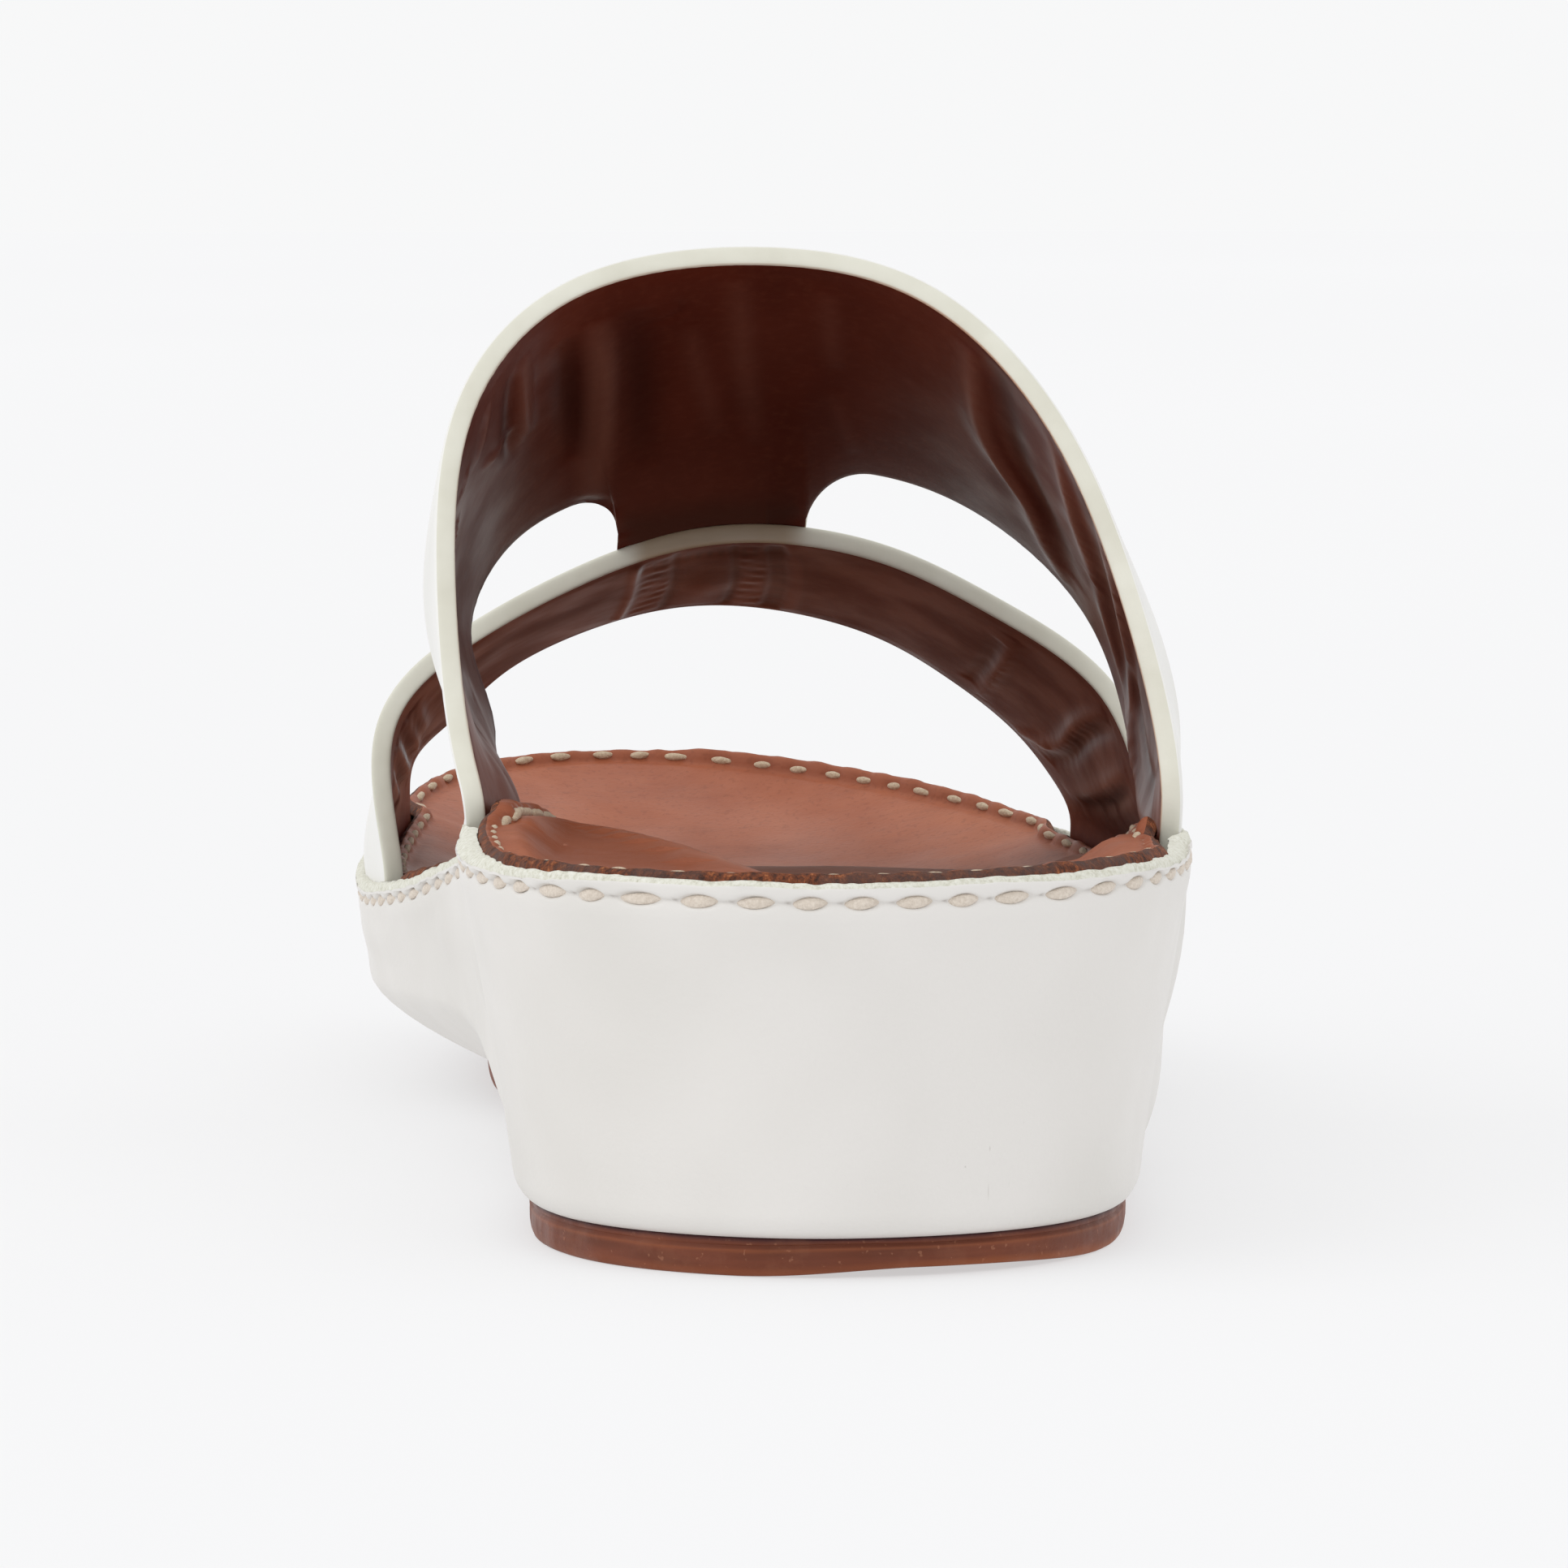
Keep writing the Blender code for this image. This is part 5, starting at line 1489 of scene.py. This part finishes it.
def sheet_normals(points, quads):
    """Directions off the foot."""
    face_normal = np.cross(points[quads[:, 2]] - points[quads[:, 0]],
                           points[quads[:, 3]] - points[quads[:, 1]])
    normal = np.zeros_like(points)
    for k in range(4):
        np.add.at(normal, quads[:, k], face_normal)
    normal /= np.linalg.norm(normal, axis=1)[:, None]
    return -normal if normal[points[:, 2].argmax(), 2] < 0 else normal


def outline(quads):
    """Points round the sheet's border, in order."""
    pairs = dict.fromkeys((a, b) for face in quads.tolist() for a, b in zip(face, face[1:] + face[:1]))
    following = {a: b for a, b in pairs if (b, a) not in pairs}
    loop = [next(iter(following))]
    while following[loop[-1]] != loop[0]:
        loop.append(following[loop[-1]])
    return np.array(loop)


def nearest_gap(points, line):
    """Distance of each point from a line of points, worked out in lots to save memory."""
    gap = np.full(len(points), np.inf)
    for begin in range(0, len(points), 4000):
        part = points[begin:begin + 4000]
        gap[begin:begin + 4000] = np.linalg.norm(part[:, None] - line[None], axis=2).min(axis=1)
    return gap


class Sheet:
    """A strap's lining: points and faces, directions off the foot, outline and its directions."""

    def __init__(self, grid, u_lines, v_lines):
        self.grid, self.u_lines, self.v_lines = grid, u_lines, v_lines
        present = ~np.isnan(grid[:, :, 0])
        index = np.full(present.shape, -1)
        index[present] = np.arange(present.sum())
        j, i = np.where(present[:-1, :-1] & present[:-1, 1:] & present[1:, 1:] & present[1:, :-1])
        self.points = grid[present]
        self.quads = np.column_stack([index[j, i], index[j, i + 1], index[j + 1, i + 1], index[j + 1, i]])
        self.row, self.column = np.where(present)
        self.normal = sheet_normals(self.points, self.quads)
        self.loop = outline(self.quads)
        self.border = self.points[self.loop]
        self.outward = self.border_directions()
        self.away = smooth_step(*EDGE_CALM, nearest_gap(self.points, self.border[::4]))

    def border_directions(self):
        """Directions out of the sheet along its border."""
        tangent = np.roll(self.border, -1, axis=0) - np.roll(self.border, 1, axis=0)
        tangent /= np.linalg.norm(tangent, axis=1)[:, None]
        outward = np.cross(tangent, self.normal[self.loop])
        outward /= np.linalg.norm(outward, axis=1)[:, None]
        centre = np.zeros_like(self.points)
        weight = np.zeros(len(self.points))
        middle = self.points[self.quads].mean(axis=1)
        for k in range(4):
            np.add.at(centre, self.quads[:, k], middle)
            np.add.at(weight, self.quads[:, k], 1)
        centre /= weight[:, None]
        off_centre = self.border - centre[self.loop]
        return -outward if np.einsum("ij,ij->i", outward, off_centre).mean() < 0 else outward

    def at(self, u, v):
        """Points at fractions u and v."""
        a = np.interp(u, self.u_lines, np.arange(len(self.u_lines)))
        b = np.interp(v, self.v_lines, np.arange(len(self.v_lines)))
        i = np.clip(np.floor(a).astype(int), 0, len(self.u_lines) - 2)
        j = np.clip(np.floor(b).astype(int), 0, len(self.v_lines) - 2)
        fa, fb = (a - i)[..., None], (b - j)[..., None]
        low = self.grid[j, i] * (1 - fa) + self.grid[j, i + 1] * fa
        high = self.grid[j + 1, i] * (1 - fa) + self.grid[j + 1, i + 1] * fa
        return low * (1 - fb) + high * fb


def crease_heights(strap, sheet):
    """Height towards the foot that the creases add, and how deep each point lies in a trough, for the
    painted shade there.
    """
    points = sheet.points
    total = np.zeros(len(points))
    deep = np.zeros(len(points))
    for name, width, ridge, tilt, places in CREASES:
        if name != strap:
            continue
        uv = smooth_curve(places, 60) if len(places) > 2 else np.linspace(places[0], places[1], 61)
        path = sheet.at(uv[:, 0], uv[:, 1])
        tangent = np.gradient(path, axis=0)
        tangent /= np.linalg.norm(tangent, axis=1)[:, None]
        near = np.where(np.linalg.norm(points - path.mean(axis=0), axis=1)
                        < np.ptp(path, axis=0).max() + 5 * width * MM)[0]
        gap = points[near, None] - path[None]
        distance = np.linalg.norm(gap, axis=2)
        k = distance.argmin(axis=1)
        each = np.arange(len(near))
        d = distance[each, k] / (width * MM)
        across = np.cross(tangent[k], gap[each, k])
        side = np.sign(np.einsum("ij,ij->i", across, sheet.normal[near]))
        taper = np.sin(np.pi * np.clip(k / 60, 0, 1)) ** 0.5
        bell = np.exp(-d**2)
        total[near] += taper * (ridge * bell + tilt * side * d * bell * 1.6) * MM
        if ridge < 0:
            deep[near] = np.maximum(deep[near], taper * bell * min(1, -ridge * 2))
    return total, deep


def bridge_side(points, row):
    """1 along the inner side of the bridge, where the strap's thickness must not show."""
    on_bridge = smooth_step(INSTEP_ROWS - 14, INSTEP_ROWS, row)
    near = smooth_step(BRIDGE_INNER + 2.6 * MM, BRIDGE_INNER, points[:, 0])
    return on_bridge * near * smooth_step(BRIDGE_INNER - 9 * MM, BRIDGE_INNER - 3 * MM, points[:, 0])


def bridge_edge(points, row):
    """How much flatter the painted edge is beside the bridge."""
    on_bridge = smooth_step(INSTEP_ROWS - 12, INSTEP_ROWS, row)
    outer_side = smooth_step(BRIDGE_OUTER - 4 * MM, BRIDGE_OUTER - 1 * MM, points[:, 0])
    outer_side = outer_side * smooth_step(BRIDGE_OUTER + 8 * MM, BRIDGE_OUTER + 2 * MM, points[:, 0])
    return np.maximum(0.9 * bridge_side(points, row), 0.65 * on_bridge * outer_side)


def lining_finish(strap, sheet, marks):
    """Lift of the lining towards the foot, then painted shade in its folds, painted highlight with rubbing
    on its ridges and legs, and its dullness.
    """
    lift, deep = crease_heights(strap, sheet)
    height, shade, rub_and_highlight = marks(sheet.u_lines[sheet.column], sheet.v_lines[sheet.row])
    lift = lift + height * MM
    deep = np.maximum(deep, shade)
    # ridges lifted towards the foot get a painted highlight
    rub_and_highlight = np.maximum(rub_and_highlight, np.clip(lift / (0.6 * MM), 0, 1) * 0.8)
    dull = np.zeros(len(sheet.points))
    if strap == "instep":
        inner = sheet.points[:, 0] < 0
        height = sheet.points[:, 2] / INSTEP_HEIGHT
        dull = smooth_step(0.80, 0.60, height) * inner
        # the legs' linings are lighter low down: rubbing with painted sheen
        wear_and_light = np.where(inner, LEG_RUB_AND_SHEEN_INNER, LEG_RUB_AND_SHEEN_OUTER)
        rub_and_highlight = np.maximum(rub_and_highlight, wear_and_light * smooth_step(0.85, 0.55, height))
    return lift, deep, rub_and_highlight, dull


def strap_faces(sheet, slim, flat_edge, lift):
    """Points of the lining, the outer face and each line of the rounded edge between them."""
    points, normal, loop = sheet.points, sheet.normal, sheet.loop
    flow = points @ np.array([[1, 0], [0.3, 0.8], [0.4, 0.6]])
    u, v = flow[:, 0] + 1, flow[:, 1] + 1
    soft = 0.16 * ripple(u, v, 15 * MM, 22 * MM, 120)
    soft = soft + 0.05 * ripple(u, v, 5 * MM, 9 * MM, 121)
    lining = points - normal * ((lift + soft * MM) * sheet.away)[:, None]
    calm = 0.10 * MM * ripple(u, v, 18 * MM, 24 * MM, 122) * sheet.away
    outer = points + normal * (STRAP_THICKNESS + calm)[:, None]
    across = np.array([1, 0, 0])
    lines = [lining, outer + slim[:, None] * (BRIDGE_TUCK * across)]
    middle_line = sheet.border + normal[loop] * STRAP_THICKNESS / 2
    for k in range(1, EDGE_STEPS):
        turn = math.pi / 2 - math.pi * k / EDGE_STEPS
        up = math.copysign(abs(math.sin(turn)) ** 0.75, math.sin(turn))
        out = math.cos(turn) ** 0.55
        tucked = slim[loop] * (0.5 + 0.5 * up) * BRIDGE_TUCK
        bulge = EDGE_BULGE * out * (1 - flat_edge[loop])
        lines.append(middle_line + normal[loop] * (STRAP_THICKNESS / 2 * up)
                     + sheet.outward * bulge[:, None] + tucked[:, None] * across)
    return np.vstack(lines)


def strap_sheet(name, strap, sheet, looks, marks, stain_and_shade=None):
    """Leather strap on its lining: lining, white outer face and painted edge."""
    lift, deep, rub_and_highlight, dull = lining_finish(strap, sheet, marks)
    slim = flat_edge = np.zeros(len(sheet.points))
    white_strips = 0
    if strap == "instep":
        slim = bridge_side(sheet.points, sheet.row)
        flat_edge = bridge_edge(sheet.points, sheet.row)
        white_strips = 2
    points = strap_faces(sheet, slim, flat_edge, lift)

    quads, loop = sheet.quads, sheet.loop
    count, size = len(sheet.points), len(loop)
    faces = quads.tolist() + (quads[:, ::-1] + count).tolist()
    kinds = [LINING] * len(quads) + [OUTER] * len(quads)
    chain = [2 * count + k * size + np.arange(size) for k in range(EDGE_STEPS - 1)]
    chain = [loop + count, *chain, loop]
    for k, (a, b) in enumerate(zip(chain, chain[1:])):
        faces += np.column_stack([a, np.roll(a, -1), np.roll(b, -1), b]).tolist()
        kinds += [OUTER if k < white_strips else EDGE] * size
    made = add_mesh(name, points, faces, looks, kinds, smooth_angle=55)

    rest = np.zeros(len(points) - 2 * count)
    none = np.zeros(count)
    cut_line = np.zeros(len(points))
    if strap == "instep":
        cut_line[loop] = 0.3 + 0.7 * smooth_step(0, 0.5 * HALF_BALL, sheet.border[:, 0])
        cut_line[-size:] = 0.8 * cut_line[loop]
    # painted shade in the lining's troughs, calmed near its edge
    paint(made, "fold", np.r_[deep * sheet.away, none, rest])
    # painted highlight with rubbing, calmed near the edge
    paint(made, "rub_and_highlight", np.r_[rub_and_highlight * sheet.away, none, rest])
    paint(made, "dull", np.r_[dull, none, rest])
    paint(made, "cut_line", cut_line)
    paint(made, "stain_and_shade", stain_and_shade(points) if stain_and_shade else np.zeros(len(points)))
    return made


def bridge_stain_and_shade(points):
    """Tan glue and painted shade on the toe strap's back edge under the bridge."""
    x = points[:, 0]
    across = smooth_step(BRIDGE_INNER + 1 * MM, BRIDGE_INNER + 4 * MM, x)
    across = across * smooth_step(BRIDGE_OUTER + 1 * MM, BRIDGE_OUTER - 3 * MM, x)
    return across * smooth_step(0.56 * INSTEP_HEIGHT, 0.61 * INSTEP_HEIGHT, points[:, 2])


# Satin stitching that holds the tab down: centre of each column and its width, across
TAB_COLUMNS = ((-13.0 * MM, 4.2 * MM), (0.6 * MM, 4.2 * MM))
BAR_PITCH = 1.0 * MM
BAR_MARGINS = (5 * MM, 3 * MM)   # bare leather before the first bar and after the last
BAR_POINTS = 9


def tab_thread(tab, looks):
    """Bars of thread over the tab's outer face."""
    normal = surface_normals(tab)
    if normal[:, :, 2].mean() < 0:
        normal = -normal
    face = tab + normal * STRAP_THICKNESS
    random = np.random.default_rng(23)
    parts = []
    for centre, width in TAB_COLUMNS:
        x = np.linspace(centre - width / 2, centre + width / 2, BAR_POINTS)
        first = face[:, :, 1].min() + BAR_MARGINS[0]
        last = face[-1, face.shape[1] // 2, 1] - BAR_MARGINS[1]
        for y in np.arange(first, last, BAR_PITCH):
            lean = random.uniform(-0.1, 0.1) * MM
            heights = []
            for place in x:
                column = np.array([np.interp(place, row[:, 0], row[:, 2]) for row in face])
                along = np.array([np.interp(place, row[:, 0], row[:, 1]) for row in face])
                heights.append(np.interp(y, along, column))
            arch = np.sin(np.linspace(0, np.pi, BAR_POINTS)) ** 0.5
            path = np.column_stack([x, y + lean * np.linspace(-1, 1, BAR_POINTS),
                                    np.array(heights) + (0.42 * arch - 0.25) * MM])
            radii = (0.30 + 0.12 * arch) * MM
            parts.append(tube(path, radii, 8, up=(0, 1, 0)))
    points, faces = joined(parts)
    return add_mesh("tab_thread", points, faces, looks)


# ---------------------------------------------------------------- build

def studio():
    """Pale floor, soft light and the photo's viewpoint."""
    corners = ((-1, -1), (1, -1), (1, 1), (-1, 1))
    points = [(x * FLOOR_REACH, y * FLOOR_REACH, -FLOOR_GAP) for x, y in corners]
    mesh = bpy.data.meshes.new("floor")
    mesh.from_pydata(points, [], [(0, 1, 2, 3)])
    mesh.materials.append(floor_look())
    floor = bpy.data.objects.new("floor", mesh)
    bpy.context.scene.collection.objects.link(floor)

    world = bpy.data.worlds.new("studio")
    world.use_nodes = True
    background = world.node_tree.nodes["Background"]
    background.inputs["Color"].default_value = SKY
    background.inputs["Strength"].default_value = 1.0
    bpy.context.scene.world = world

    for name, lean, turn, softness, strength in LAMPS:
        light = bpy.data.lights.new(name, "SUN")
        light.angle = math.radians(softness)
        light.energy = strength
        lamp = bpy.data.objects.new(name, light)
        lamp.rotation_euler = (math.radians(lean), 0, math.radians(turn))
        lamp.location = (0, -0.3, 0.8)
        bpy.context.scene.collection.objects.link(lamp)

    camera = bpy.data.cameras.new("camera")
    camera.lens = CAMERA_LENS
    camera.sensor_width = 36
    camera.clip_end = 50
    camera.dof.use_dof = False
    holder = bpy.data.objects.new("camera", camera)
    holder.location = np.array(CAMERA_AT) + PLACE
    holder.rotation_euler = np.radians(CAMERA_TURN)
    bpy.context.scene.collection.objects.link(holder)
    bpy.context.scene.camera = holder
    bpy.context.scene.view_settings.view_transform = "Standard"


def settle(made, slot_name, *nodes):
    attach(made, "root")
    if nodes:
        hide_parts(*nodes)
    print("PIECE", made.name, sum(len(face.vertices) - 2 for face in made.data.polygons))


rim = Rim(RIM_COUNT)
PLACE = np.array([-(rim.x.min() + rim.x.max()) / 2, -LENGTH / 2, 0.0])
holes = stitch_holes(rim)
phase = stitch_phase(rim, holes)

white = white_leather()
strap_white = strap_leather()
cream = painted_edge()
raw_white = raw_white_edge()
raw_brown = raw_brown_edge()
tan = footbed_leather()
lining = lining_leather()
brown = sole_leather()
thread = thread_look("rim_thread_look", (206, 193, 178), (232, 221, 208))
inner_thread = thread_look("inner_thread_look", (176, 152, 124), (212, 194, 168))
satin = thread_look("satin_thread_look", (232, 229, 222), (245, 243, 238))

settle(outsole(rim, [brown]), "outsole", "outsole")
settle(wedge(rim, phase, [white, raw_white]), "wedge", "wedge")
settle(footbed(rim, phase, [tan, raw_brown]), "footbed", "footbed")
settle(rim_thread(rim, holes, [thread]), "wedge")
settle(footbed_thread(rim, holes, [inner_thread]), "footbed")

strap_looks = [lining, strap_white, cream]
grid, u_lines, tab = instep_grid(rim)
v_lines = np.r_[np.linspace(0, 1, INSTEP_ROWS + 1), 1 + np.arange(1, len(grid) - INSTEP_ROWS)]
bridge_sides = u_lines[[INNER_COLUMNS, INNER_COLUMNS + BRIDGE_COLUMNS]]
instep = Sheet(grid, u_lines, v_lines)
settle(strap_sheet("instep_strap", "instep", instep, strap_looks, bridge_shade(*bridge_sides)),
       "upper", "upper")
grid, u_lines = toe_grid(rim)
toe = Sheet(grid, u_lines, np.linspace(0, 1, TOE_ROWS + 1))
settle(strap_sheet("toe_strap", "toe", toe, strap_looks, toe_patch, bridge_stain_and_shade), "upper", "upper")
settle(tab_thread(tab, [satin]), "upper")

studio()
